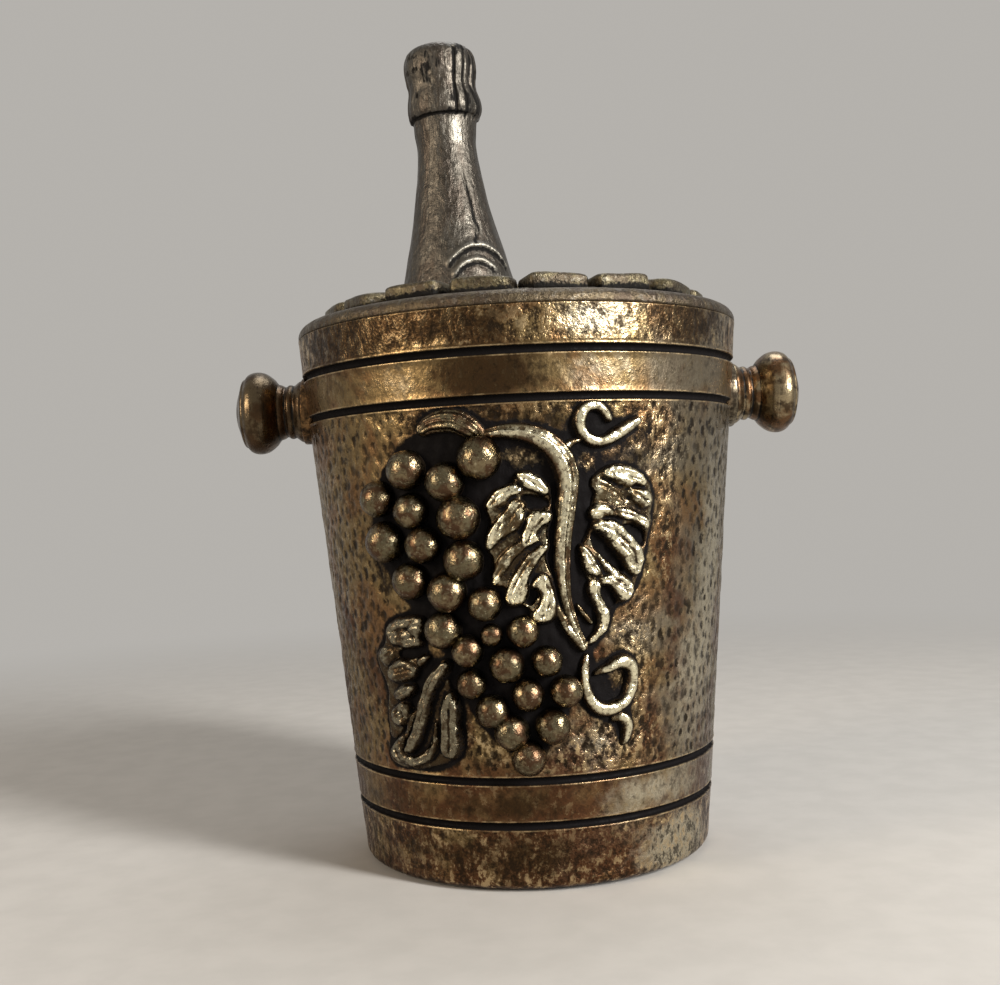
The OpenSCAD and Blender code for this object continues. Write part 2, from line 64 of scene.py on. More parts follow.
# The photograph's size and the camera that fits it, in pixels, millimetres and degrees
PHOTO_W, PHOTO_H = 1000, 985
FOCAL_PX = 1204
CAMERA_PLACE = (-7.22, -168.56, 47.6)
CAMERA_ROLL, CAMERA_PITCH, CAMERA_YAW = -2.52, -0.32, 1.38
SENSOR_W = 36

# The bucket's cone: its height and rim come from the frame
BUCKET_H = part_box("bucket_shell")[1].z / MM
RIM_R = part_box("lid")[1].x / MM
LID_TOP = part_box("lid")[1].z / MM
BASE_R = 23.5
WALL_T = 2.0
FOOT_Z = 0.3
FOOT_R = 1.2
FLOOR_Z = 2.2
PAD_R = 20.7
PAD_TOP = 0.8
RIM_ROUND = 0.25

# Grooves: the middles of the two pairs, their width and their depth
GROOVE_ZS = (8.25, 13.75, 59.3, 64.9)
GROOVE_W = 0.95
GROOVE_DEPTH = 0.6
LIP_W = 0.24
LIP_RISE = 0.05

# Rows across half a groove: distance past its edge, step out of the wall, and shares of paint and lip
GROOVE_ROWS = (
    (-0.12, LIP_RISE, 0, 0.8), (-0.02, 0.02, 0.3, 0.4), (0.05, -0.3, 1, 0), (0.2, -0.9 * GROOVE_DEPTH, 1, 0),
)

# Share of hammering on each stretch of wall between the grooves, from the foot up
STRETCH_HAMMERED = (0.75, 0.0, 1.0, 0.0, 0.9)

# Knobs and the round bosses that they sit on
KNOB_Z = 61.0
BOSS_R = 4.6
BOSS_OUT = 30.0
BOSS_IN = 26.2

# Radius at which arc lengths round the bucket are counted
ARC_R = 27.0

# Innermost radius of a turned shape, points round most of them, and the least length to divide by
HUB = 0.01
ROUND = 128
NOTHING = 1e-9

# Noise: entries in its random table, and the numbers that mix a place into an entry
GRAIN_TABLE = 4096
GRAIN_KEYS = (73856093, 19349663, 83492791)


def rotation(*turns):
    """One rotation from (degrees, axis) pairs, as a matrix."""
    made = Matrix.Identity(3)
    for degrees, axis in turns:
        made = made @ Matrix.Rotation(math.radians(degrees), 3, axis)
    return np.array(made)


def camera_axes():
    """The camera's right, forward and up directions, as rows."""
    return rotation((CAMERA_ROLL, "Y"), (CAMERA_PITCH, "X"), (CAMERA_YAW, "Z"))


def cone(z):
    """Radius of the bucket's outer wall at a height."""
    return BASE_R + (RIM_R - BASE_R) * z / BUCKET_H


def on_cone(px, py, base_r, slope, axis_x=0.0):
    """Where pixels of the photograph meet an upright cone: points, and pixels per millimetre there."""
    px, py = np.asarray(px, float), np.asarray(py, float)
    across = (px - PHOTO_W / 2) / FOCAL_PX
    up = -(py - PHOTO_H / 2) / FOCAL_PX
    ray = np.stack([across, np.ones_like(across), up], -1) @ camera_axes()
    eye = np.array(CAMERA_PLACE) - np.stack([axis_x + 0 * px, 0 * px, 0 * px], -1)
    reach = base_r + slope * eye[..., 2]
    a = ray[..., 0] ** 2 + ray[..., 1] ** 2 - (slope * ray[..., 2]) ** 2
    b = 2 * (eye[..., 0] * ray[..., 0] + eye[..., 1] * ray[..., 1] - slope * ray[..., 2] * reach)
    c = eye[..., 0] ** 2 + eye[..., 1] ** 2 - reach**2
    far = (-b - np.sqrt(np.maximum(b * b - 4 * a * c, 0))) / (2 * a)
    return eye + far[..., None] * ray, FOCAL_PX / far


def on_wall(px, py, rise=0.0):
    """Arc length, height and pixels per millimetre where pixels meet the wall, pushed out by rise."""
    hit, scale = on_cone(px, py, BASE_R + rise, (RIM_R - BASE_R) / BUCKET_H)
    return np.arctan2(hit[..., 0], -hit[..., 1]) * ARC_R, hit[..., 2], scale


def wall_line(line, rise=0.0):
    """Arc lengths and heights where a line of pixels meets the wall."""
    return np.stack(on_wall(*np.asarray(line, float).T[:2], rise)[:2], -1)


def round_axis(r, arc, z):
    """Points at radius r, at an arc length round the axis from the front, at height z."""
    turn = np.asarray(arc) / ARC_R
    return np.stack([r * np.sin(turn), -r * np.cos(turn), z + 0 * turn], -1)


def ease(low, high, value):
    """0 below low, 1 above high, smooth between."""
    t = np.clip((value - low) / (high - low), 0, 1)
    return t * t * (3 - 2 * t)


def grain(points, size, seed):
    """Smooth noise from -1 to 1 whose lumps are about size across."""
    table = np.random.default_rng(seed).uniform(-1, 1, GRAIN_TABLE)
    place = np.asarray(points) / size
    cell = np.floor(place).astype(np.int64)
    part = place - cell
    part = part * part * (3 - 2 * part)
    total = 0
    for corner in range(8):
        step = np.array([corner & 1, corner >> 1 & 1, corner >> 2 & 1])
        at = cell + step
        keys = [at[..., axis] * GRAIN_KEYS[axis] for axis in range(3)]
        weight = np.prod(np.where(step == 1, part, 1 - part), -1)
        total = total + weight * table[(keys[0] ^ keys[1] ^ keys[2]) & (GRAIN_TABLE - 1)]
    return total


def waves(points, *kinds):
    """Unevenness made of several grains, each with its height, size and seed."""
    return sum(height * grain(points, size, seed) for height, size, seed in kinds)


def quads(rows, columns, closed=True):
    """Faces of a grid of points, with the last column joined to the first when closed."""
    index = np.arange(rows * columns).reshape(rows, columns)
    after = np.roll(index, -1, 1)
    if not closed:
        index, after = index[:, :-1], after[:, :-1]
    return np.stack([index[:-1], after[:-1], after[1:], index[1:]], -1).reshape(-1, 4)


def joined(*parts):
    """One (points, faces, layers) from several; a layer that a part lacks is 0 there."""
    names = sorted({name for part in parts for name in part[2]})
    start, faces = 0, []
    for points, own, _ in parts:
        faces.extend(tuple(face) for face in (np.asarray(own) + start).tolist())
        start += len(points)
    layers = {
        name: np.concatenate([part[2].get(name, np.zeros(len(part[0]))) for part in parts])
        for name in names
    }
    return np.concatenate([part[0] for part in parts]), faces, layers


def turns_round(columns):
    """Angles round the axis from the front, in the order of a turned shape's columns."""
    turn = np.linspace(0, 2 * math.pi, columns, endpoint=False)
    return np.where(turn > math.pi, turn - 2 * math.pi, turn)


def span(value, start, full, fade, end):
    """0 outside start to end, 1 from full to fade, smooth between."""
    return ease(start, full, value) * (1 - ease(fade, end, value))


def bell(value, width):
    """1 where the value is 0, and almost 0 from two widths on."""
    return np.exp(-((value / width) ** 2))


def to_edge(at, a, b):
    """The nearest place on an edge, as a share of it, and the way from there to each point."""
    edge = b - a
    part = np.clip(((at - a) @ edge) / max(edge @ edge, NOTHING), 0, 1)
    return part, at - a - part[..., None] * edge


def path_distance(at, path):
    """Distance of each point from a line through the path's points."""
    near = np.full(at.shape[:-1], np.inf)
    for a, b in zip(path[:-1], path[1:]):
        near = np.minimum(near, np.linalg.norm(to_edge(at, a, b)[1], axis=-1))
    return near


def turned(profile, columns, push=None, layers=None):
    """A shape turned round Z from (radius, height) points, pushed outwards by an amount at each point."""
    profile = np.asarray(profile, float)
    turn = np.linspace(0, 2 * math.pi, columns, endpoint=False)
    r = np.repeat(profile[:, :1], columns, 1)
    if push is not None:
        r = r + push
    z = np.repeat(profile[:, 1:], columns, 1)
    points = np.stack([r * np.sin(turn), -r * np.cos(turn), z], -1).reshape(-1, 3)
    flat = {name: np.asarray(value, float).reshape(-1) for name, value in (layers or {}).items()}
    return points, quads(len(profile), columns), flat


def arc_points(x, z, r, start, end, steps):
    """Points on an arc about (x, z), between two angles in degrees."""
    return [
        (x + r * math.cos(math.radians(a)), z + r * math.sin(math.radians(a)))
        for a in np.linspace(start, end, steps)
    ]


def sideways(part, side):
    """A turned part laid along X at a knob's height, to the right (1) or the left (-1)."""
    points, faces, layers = part
    points = np.stack([side * points[:, 2], side * points[:, 1], KNOB_Z + points[:, 0]], -1)
    return points, [face[::-1] for face in faces], layers


def added(name, data):
    """A new object in the scene."""
    made = bpy.data.objects.new(name, data)
    bpy.context.scene.collection.objects.link(made)
    return made


def make_piece(name, part, body, material, replaces=()):
    """Adds a mesh from (points, faces, layers) in millimetres, hangs it on its body's empty and hides the
    parts it stands for.
    """
    points, faces, layers = part
    mesh = bpy.data.meshes.new(name)
    mesh.from_pydata((np.asarray(points) * MM).tolist(), [], [tuple(face) for face in faces])
    mesh.polygons.foreach_set("use_smooth", [True] * len(mesh.polygons))
    for layer, values in layers.items():
        mesh.attributes.new(layer, "FLOAT", "POINT").data.foreach_set("value", values.astype(np.float32))
    mesh.materials.append(material)
    mesh.update()
    piece = added(name, mesh)
    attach(piece, body)
    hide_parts(*replaces)
    return piece


class Nodes:
    """A node tree that grows by short calls."""

    def __init__(self, tree):
        self.tree = tree

    def node(self, kind, values=(), **settings):
        made = self.tree.nodes.new(kind)
        for key, value in settings.items():
            setattr(made, key, value)
        for key, value in dict(values).items():
            self.put(made.inputs[key], value)
        return made

    def put(self, socket, value):
        if isinstance(value, bpy.types.NodeSocket):
            self.tree.links.new(value, socket)
        elif hasattr(value, "__len__") and len(value) == 3 and len(socket.default_value) == 4:
            socket.default_value = (*value, 1)
        else:
            socket.default_value = value

    def sum(self, operation, a, b=0.0, clamp=False):
        return self.node("ShaderNodeMath", {0: a, 1: b}, operation=operation, use_clamp=clamp).outputs[0]

    def plus(self, a, b):
        return self.sum("ADD", a, b)

    def times(self, a, b):
        return self.sum("MULTIPLY", a, b)

    def most(self, a, b):
        return self.sum("MAXIMUM", a, b)


class Recipe(Nodes):
    """The nodes of one material; its calls return sockets."""

    def __init__(self, name):
        self.material = bpy.data.materials.new(name)
        self.material.use_nodes = True
        super().__init__(self.material.node_tree)
        self.shader = self.tree.nodes["Principled BSDF"]
        self.place = self.node("ShaderNodeTexCoord").outputs["Object"]

    def noise(self, size, detail=4, rough=0.55, stretch=(1, 1, 1), warp=0.0):
        """Noise whose lumps are about size millimetres across, longer along an axis by its stretch."""
        place = self.place
        if stretch != (1, 1, 1):
            scale = tuple(1 / s for s in stretch)
            place = self.node("ShaderNodeMapping", {"Vector": place, "Scale": scale}).outputs[0]
        values = {
            "Vector": place, "Scale": 1 / (size * MM), "Detail": detail, "Roughness": rough,
            "Distortion": warp,
        }
        return self.node("ShaderNodeTexNoise", values).outputs["Fac"]

    def axes(self):
        """X, Y and Z in metres."""
        return self.node("ShaderNodeSeparateXYZ", {0: self.place}).outputs

    def layer(self, name):
        """A value painted on the mesh's points."""
        return self.node("ShaderNodeAttribute", attribute_name=name).outputs["Fac"]

    def between(self, value, low, high, start=0.0, end=1.0):
        """Maps low to high onto start to end, smoothly and clamped."""
        values = {"Value": value, "From Min": low, "From Max": high, "To Min": start, "To Max": end}
        return self.node("ShaderNodeMapRange", values, interpolation_type="SMOOTHSTEP").outputs["Result"]

    def mix(self, part, a, b, kind="MIX"):
        made = self.node("ShaderNodeMix", {0: part, 6: a, 7: b}, data_type="RGBA", blend_type=kind)
        return made.outputs[2]

    def over(self, colour, coat, value, low, high, start=0.0, end=1.0):
        """Lays a coat over a colour, by a share that follows a value as in between()."""
        return self.mix(self.between(value, low, high, start, end), colour, coat)

    def bump(self, height, depth, normal=None):
        """A bump of height, 0 to 1, that is depth millimetres deep."""
        values = {"Height": height, "Distance": depth * MM}
        if normal:
            values["Normal"] = normal
        return self.node("ShaderNodeBump", values).outputs["Normal"]

    def finish(self, **values):
        """Puts colour, roughness and the rest on the shader and returns the material."""
        for key, value in values.items():
            self.put(self.shader.inputs[key.replace("_", " ").title().replace("Ior", "IOR")], value)
        return self.material

    def metal(self, colour, rough, normal, cover, matt, hiding, specular):
        """Finishes a metal under a cover, which adds to its roughness and hides its metal."""
        bare = self.sum("SUBTRACT", 1.0, self.times(cover, hiding), clamp=True)
        rough = self.plus(rough, self.times(cover, matt))
        return self.finish(
            base_color=colour, metallic=bare, roughness=rough, specular_ior_level=specular, normal=normal
        )


def hammered_brass(look):
    """Brass, copper and grey patches on a rough casting, gold where worn and black where painted; its tone
    lightens and darkens it with tarnish, painted highlights and painted shade.
    """
    r = Recipe("hammered_brass")
    coarse = r.noise(0.95, 3, 0.6, stretch=(1, 1, 1.5))
    lump = r.plus(r.times(coarse, 0.68), r.times(r.noise(0.32, 2, 0.6), 0.32))
    worn = r.layer("worn")
    x, y, z = r.axes()
    # The drift towards grey on the +X side is a painted reflection; the noise under it gives grey patches
    east = r.plus(r.noise(12, 3, 0.6, warp=0.4), r.times(x, look.reflection_greying))
    low = r.plus(r.noise(8, 3, 0.6, warp=0.5), r.times(z, -look.reddening))
    colour = r.over(look.brass, look.copper, r.noise(9, 3, 0.6, warp=0.6), 0.42, 0.58)
    colour = r.over(colour, look.grey, east, 0.52, 0.74, 0, 0.88)
    colour = r.over(colour, look.red, low, 0.3, 0.46, 0, 0.8)
    # Tone: tarnish, with painted highlights where it is high and painted shade where it is low
    tone = r.plus(r.layer("tone"), r.between(r.noise(1.9, 4, 0.65, warp=0.3), 0.3, 0.7, -0.24, 0.24))
    colour = r.over(colour, look.pale, tone, 0.15, 1.2, 0, 0.9)
    umber_and_shade = r.between(tone, -0.08, -0.8)
    colour = r.mix(r.times(umber_and_shade, 0.95), colour, look.umber_and_shade)
    deep = r.times(r.between(lump, 0.5, 0.41), r.between(worn, 0, 1, 0.3, 0.95))
    colour = r.mix(deep, colour, look.dent)
    cluster = r.between(r.noise(3.5, 3, 0.6), 0.4, 0.6, 0.35, 1.0)
    gold = r.times(r.between(r.plus(lump, r.times(worn, 0.05)), 0.54, 0.63), cluster)
    gold = r.times(r.times(gold, worn), r.sum("SUBTRACT", 1.0, r.times(umber_and_shade, 0.75)))
    gold = r.most(gold, r.times(r.layer("lip"), r.between(r.noise(1.8, 3), 0.4, 0.6, 0.1, 0.8)))
    colour = r.mix(gold, colour, look.glint)
    dents = r.plus(r.layer("pit"), r.between(r.noise(0.55, 3, 0.7), 0.3, 0.7, 0.2, -0.3))
    dents = r.times(r.between(dents, 0.1, 0.6), r.between(r.noise(2.6, 2), 0.35, 0.6, 0.62, 0.95))
    dents = r.times(dents, r.between(y, -0.014, 0.0, 1.0, 0.6))
    dents = r.most(dents, r.between(r.noise(1.0, 3, 0.65), 0.53, 0.68, 0.0, 0.55))
    colour = r.mix(dents, colour, look.dent)
    paint = r.plus(r.layer("paint"), r.between(lump, 0.35, 0.65, 0.17, -0.2))
    colour = r.over(colour, look.dent, paint, 0.1, 0.5, 0, 0.8)
    paint = r.between(paint, 0.38, 0.72)
    colour = r.mix(paint, colour, look.paint)
    normal = r.bump(r.times(lump, r.between(worn, 0, 1, 0.25, 1.0)), 0.3)
    return r.metal(colour, r.between(lump, 0.4, 0.62, 0.46, 0.24), normal, paint, 0.3, 0.95, 0.05)


def gilt(look):
    """Pale rubbed brass on the relief's heights, brown lower down and black in its creases, with painted
    shade on steep flanks and on the grapes' left sides.
    """
    r = Recipe("gilt")
    tone = r.noise(1.5, 4, 0.65)
    fine = r.noise(0.4, 3, 0.65)
    grapes = r.over(look.gilt, look.bronze, tone, 0.42, 0.56)
    grapes = r.over(grapes, look.olive, r.noise(2.6, 3), 0.46, 0.56, 0, 0.8)
    crest = r.plus(r.layer("crest"), r.between(tone, 0.38, 0.62, 0.45, -0.45))
    leaves = r.over(look.low, look.pale, crest, 0.12, 0.98)
    leaf = r.layer("leaf")
    colour = r.over(grapes, leaves, r.sum("ABSOLUTE", leaf), 0.3, 0.85)
    colour = r.over(colour, look.shade, leaf, -0.1, -0.6, 0, 0.76)
    colour = r.over(colour, look.bronze, fine, 0.5, 0.66, 0, 0.7)
    colour = r.over(colour, look.pale, fine, 0.4, 0.3, 0, 0.25)
    # This layer holds patina in the hollows and painted shade on the steep flanks and on the grapes
    dark = r.plus(r.layer("crease"), r.between(fine, 0.35, 0.65, -0.2, 0.2))
    colour = r.over(colour, look.shade, dark, 0.1, 0.45, 0, 0.9)
    black = r.between(dark, 0.5, 0.85)
    colour = r.mix(black, colour, look.paint)
    normal = r.bump(r.plus(r.times(fine, 0.25), r.times(tone, 0.75)), 0.22)
    return r.metal(colour, r.between(tone, 0.35, 0.65, 0.17, 0.34), normal, black, 0.35, 0.95, 0.05)


def pewter(name, look, tint, streak=1.0, wear=0.6, contrast=0.7):
    """Dull grey-brown pewter with dark streaks along Z, bright rubbed lines and painted highlights, black in
    its seams and black painted shade.
    """
    r = Recipe(name)
    along = (1, 1, streak)
    lines = r.noise(0.4, 4, 0.65, along)
    colour = r.over(tint, look.brown, r.noise(2.4, 4, 0.6, along), 0.42, 0.6, 0, contrast)
    colour = r.over(colour, look.dark, lines, 0.5, 0.68, 0, contrast)
    # Rubbed lines from noise, with the layer's rubbed wear and painted highlights
    rubbed = r.most(r.between(r.noise(0.75, 4, 0.7, along), 0.53, 0.68, 0.0, wear), r.layer("rub"))
    colour = r.mix(rubbed, colour, look.bright)
    dark = r.plus(r.layer("crease"), r.between(lines, 0.35, 0.65, -0.2, 0.2))
    dark = r.between(dark, 0.3, 0.7)
    colour = r.mix(dark, colour, look.seam)
    normal = r.bump(lines, 0.2 * contrast, r.bump(r.noise(1.1, 3), 0.2))
    return r.metal(colour, r.between(r.noise(1.2, 4, 0.6), 0.3, 0.7, 0.32, 0.5), normal, dark, 0.3, 0.9, 0.1)


def turned_brass(look):
    """Copper-brown brass with fine turning lines round X, gold where rubbed, dark in its hollows, and darker
    on the left knob as painted shade.
    """
    r = Recipe("turned_brass")
    rings = r.noise(0.4, 2, 0.5, stretch=(1, 40, 40))
    mottle = r.noise(1.6, 4, 0.65)
    colour = r.over(look.copper, look.gold, r.noise(3.4, 3, 0.6), 0.42, 0.58)
    colour = r.over(colour, look.dark, mottle, 0.47, 0.62, 0, 0.9)
    colour = r.over(colour, look.dark, rings, 0.5, 0.75, 0, 0.4)
    # The knob at -X is darkened: painted shade
    colour = r.over(colour, look.dark, r.axes()[0], 0, -0.03, 0, 0.72)
    dark = r.plus(r.layer("crease"), r.between(mottle, 0.3, 0.7, -0.25, 0.25))
    dark = r.between(dark, 0.35, 0.85)
    colour = r.mix(dark, colour, look.seam)
    normal = r.bump(rings, 0.03, r.bump(mottle, 0.1))
    return r.metal(colour, r.between(mottle, 0.3, 0.7, 0.2, 0.42), normal, dark, 0.0, 0.85, 0.1)


def plain_metal(name, tint, size=0.4):
    """Bright drawn or plated metal with a light haze and small scratches."""
    r = Recipe(name)
    colour = r.over(tint, tuple(c * 0.8 for c in tint), r.noise(2.5, 4), 0.35, 0.65)
    rough = r.between(r.noise(size, 3), 0.3, 0.7, 0.24, 0.4)
    return r.finish(base_color=colour, metallic=1.0, roughness=rough, normal=r.bump(r.noise(size, 3), 0.01))


def moulded_plastic(name, tint):
    """Moulded plastic with a faint mottle and a fine satin skin."""
    r = Recipe(name)
    colour = r.over(tint, tuple(c * 0.93 for c in tint), r.noise(9, 3), 0.35, 0.65)
    rough = r.between(r.noise(0.6, 3), 0.3, 0.7, 0.5, 0.62)
    normal = r.bump(r.noise(0.35, 2), 0.01)
    return r.finish(base_color=colour, metallic=0.0, roughness=rough, specular_ior_level=0.15, normal=normal)


def felt(tint):
    """Pressed felt: short matted fibres."""
    r = Recipe("felt")
    fibres = r.noise(0.3, 4, 0.75, stretch=(1, 2.5, 1))
    colour = r.over(tint, tuple(c * 2.2 for c in tint), fibres, 0.35, 0.65)
    return r.finish(
        base_color=colour, metallic=0.0, roughness=0.95, normal=r.bump(fibres, 0.12), sheen_weight=0.4
    )


# Relief, traced on the photograph's front view. Pixels of its 1000 x 985 frame.
# Grapes: middle and radius
GRAPES_PX = (
    (407, 470, 17.1), (379, 499, 15.5), (412, 511, 15.5), (445, 482, 17), (479, 458, 19),
    (387, 542, 17.4), (424, 545, 15.9), (459, 518, 18.9), (464, 560, 17.4), (412, 581, 15.9),
    (448, 592, 17.4), (485, 604, 14.9), (444, 630, 16.4), (492, 635, 9.9), (523, 631, 13.9),
    (468, 651, 13.9), (507, 665, 15.5), (547, 661, 13.5), (472, 684, 12.9), (528, 695, 14),
    (566, 691, 14), (493, 711, 14.5), (512, 732, 15), (553, 726, 15), (529, 758, 15),
)
# Low webs under the leaf lobes: shares of height and paleness (below 0 is shaded), then the outline
LEAF_BODIES_PX = (
    (0.45, 0.55, (513, 473), (537, 473), (552, 490), (551, 500), (553, 524), (546, 532), (551, 544),
     (545, 560), (556, 578), (563, 618), (545, 625), (532, 620), (528, 606), (510, 608), (503, 602),
     (506, 588), (494, 587), (489, 578), (493, 558), (485, 550), (484, 540), (490, 522), (483, 510),
     (485, 498), (497, 488), (514, 483)),
    (0.47, 0.6, (594, 475), (610, 465), (641, 470), (651, 481), (656, 500), (652, 510), (654, 522),
     (650, 533), (646, 548), (645, 565), (638, 577), (636, 590), (626, 602), (616, 604), (611, 612),
     (610, 628), (594, 646), (589, 644), (598, 630), (600, 618), (592, 590), (584, 570), (580, 545),
     (590, 535), (591, 508), (596, 498)),
    (0.35, -0.6, (383, 628), (392, 620), (420, 617), (422, 645), (428, 656), (417, 670), (411, 690),
     (407, 715), (403, 735), (391, 742), (387, 715), (388, 695), (385, 680), (377, 665), (376, 650),
     (385, 645)),
    (0.3, -0.6, (388, 755), (392, 742), (409, 735), (419, 690), (434, 664), (449, 660), (449, 688),
     (458, 700), (460, 745), (453, 763), (425, 769), (398, 768)),
)
# Holes through the webs
LEAF_HOLES_PX = (
    ((624, 527), (635, 524), (647, 530), (648, 541), (643, 545), (634, 539)),
    ((603, 589), (610, 584), (618, 593), (619, 606), (611, 608), (604, 600)),
    ((594, 532), (603, 538), (614, 551), (625, 567), (623, 573), (611, 561), (597, 546)),
    ((396, 650), (424, 646), (427, 650), (414, 657), (395, 660)),
    ((531, 591), (539, 588), (536, 599), (530, 606), (527, 600)),
    ((520, 494), (549, 500), (550, 506), (527, 508)),
)
# Blackened ground between the motifs: share of black, then the outline
GROUND_PX = (
    (1.0, (476, 430), (520, 440), (548, 452), (558, 478), (556, 560), (545, 570), (500, 520), (476, 500),
     (470, 470)),
    (1.0, (568, 445), (585, 436), (600, 446), (604, 462), (597, 480), (592, 500), (580, 545), (598, 590),
     (598, 625), (586, 640), (572, 610), (568, 560), (575, 480)),
    (0.52, (590, 440), (610, 440), (652, 414), (654, 440), (648, 466), (625, 462), (600, 476)),
    (0.5, (398, 432), (415, 410), (470, 402), (510, 404), (480, 426), (440, 410), (415, 430)),
    (0.5, (480, 420), (500, 410), (540, 405), (582, 402), (578, 440), (560, 436), (540, 428), (500, 424)),
    (0.5, (400, 445), (392, 470), (370, 500), (368, 560), (395, 600), (410, 560), (395, 500)),
    (1.0, (590, 665), (625, 668), (628, 690), (612, 702), (594, 696)),
    (1.0, (404, 432), (440, 436), (470, 430), (500, 560), (560, 640), (580, 690), (560, 735), (530, 768),
     (500, 745), (470, 715), (440, 640), (395, 590), (372, 540), (372, 495)),
    (1.0, (588, 410), (606, 408), (612, 428), (600, 440), (588, 434)),
    (1.0, (545, 615), (585, 650), (590, 690), (565, 690), (540, 650)),
)
# Rubbed places in the black ground: middle, half width, half height and share of the black that is gone
RUBBED_PX = (
    (520, 457, 22, 12, 0.7), (589, 461, 10, 10, 0.75), (545, 412, 50, 9, 0.45), (617, 679, 12, 14, 0.65),
)
# A scratch across the upper band, as a line
SCRATCH_PX = ((548, 350), (556, 361), (563, 372), (572, 386))
# Tarnish and painted light on the bucket: middle, half width and half height, and how much paler (above 0)
# or darker it is. The pale patches on the bands, rim and right-hand wall are painted highlights; the dark
# ones on the bands and rim are partly tarnish and partly painted shade
TARNISH_AND_PAINTED_LIGHT_PX = (
    (597, 371, 48, 26, 0.62), (690, 372, 42, 26, 0.2), (488, 374, 50, 24, -1.45), (401, 384, 20, 24, 0.65),
    (345, 395, 30, 24, -0.3),
    (592, 316, 52, 20, 1.1), (690, 322, 52, 24, -1.25), (440, 325, 90, 24, -0.85), (330, 343, 60, 28, -1.1),
    (600, 742, 48, 34, 0.42), (664, 600, 20, 60, -0.1), (690, 680, 34, 80, 0.85), (655, 788, 70, 18, 0.95),
    (680, 842, 66, 30, 1.5), (712, 560, 30, 130, 1.15),
    (400, 800, 90, 16, -0.5), (520, 805, 60, 16, -0.75), (430, 852, 110, 24, -0.55),
    (540, 858, 60, 22, -0.55),
)
# Places of the hammered wall with gold and black speckle
WORN_PX = (
    (520, 457, 28, 16, 1.0), (589, 461, 14, 14, 1.0), (600, 745, 70, 34, 1.0), (632, 655, 28, 90, 1.0),
    (668, 500, 20, 80, 0.8), (655, 430, 34, 26, 1.0),
    (620, 400, 60, 12, 0.7), (470, 408, 110, 12, 0.8), (480, 745, 50, 24, 0.7), (345, 540, 30, 160, 0.25),
)
# Leaf lobes: height share, then the outline
MIDDLE_LEAF_PX = (
    (1.0, (514, 473), (526, 470), (538, 474), (546, 482), (552, 491), (547, 497), (537, 494), (526, 489),
     (518, 481)),
    (0.8, (483, 509), (486, 499), (496, 489), (512, 483), (524, 487), (521, 495), (510, 496), (507, 507),
     (494, 510)),
    (0.95, (484, 549), (485, 535), (493, 521), (502, 513), (508, 502), (516, 497), (527, 503), (525, 511),
     (527, 521), (519, 531), (508, 536), (499, 543), (490, 552)),
    (1.1, (526, 514), (536, 509), (553, 512), (552, 522), (543, 529), (538, 534), (541, 540), (533, 546),
     (522, 549), (519, 541), (523, 530)),
    (0.8, (490, 583), (492, 571), (496, 559), (505, 549), (517, 541), (531, 536), (540, 535), (534, 544),
     (521, 553), (510, 566), (502, 579), (494, 587)),
    (1.0, (504, 604), (506, 588), (512, 574), (521, 561), (533, 549), (544, 544), (551, 545), (544, 556),
     (534, 569), (529, 582), (530, 594), (523, 605), (512, 608)),
    (1.05, (529, 589), (535, 578), (543, 572), (550, 577), (555, 588), (558, 604), (557, 618), (546, 625),
     (534, 622), (530, 615), (538, 606), (541, 597), (537, 590)),
)
RIGHT_LEAF_PX = (
    (1.05, (603, 474), (611, 465), (628, 464), (642, 470), (650, 480), (646, 487), (638, 485), (630, 489),
     (621, 483), (612, 480)),
    (1.0, (629, 488), (640, 487), (652, 490), (656, 500), (652, 509), (640, 507), (633, 500)),
    (0.55, (594, 477), (603, 473), (613, 480), (624, 486), (634, 499), (632, 504), (618, 498), (604, 495),
     (595, 489)),
    (0.95, (617, 508), (631, 507), (642, 512), (651, 517), (653, 525), (649, 531), (641, 525), (630, 521),
     (619, 518)),
    (1.0, (591, 510), (598, 502), (608, 503), (616, 510), (620, 517), (607, 518), (596, 521), (591, 516)),
    (1.2, (593, 522), (606, 518), (619, 520), (628, 530), (639, 541), (646, 553), (645, 567), (638, 577),
     (630, 574), (625, 561), (617, 550), (608, 540), (602, 533), (594, 529)),
    (1.0, (580, 543), (588, 547), (595, 556), (601, 565), (606, 576), (596, 578), (587, 573), (583, 560)),
    (0.85, (597, 550), (607, 559), (617, 567), (629, 577), (615, 580), (604, 571)),
    (1.05, (599, 577), (612, 573), (626, 573), (635, 580), (637, 590), (631, 600), (623, 603), (618, 594),
     (612, 586), (603, 585)),
    (1.0, (594, 576), (602, 581), (602, 593), (607, 603), (612, 612), (612, 624), (605, 636), (594, 645),
     (589, 644), (599, 630), (602, 619), (598, 608), (591, 596), (589, 586)),
    (0.6, (578, 604), (583, 607), (594, 620), (596, 625), (590, 622), (580, 611)),
)
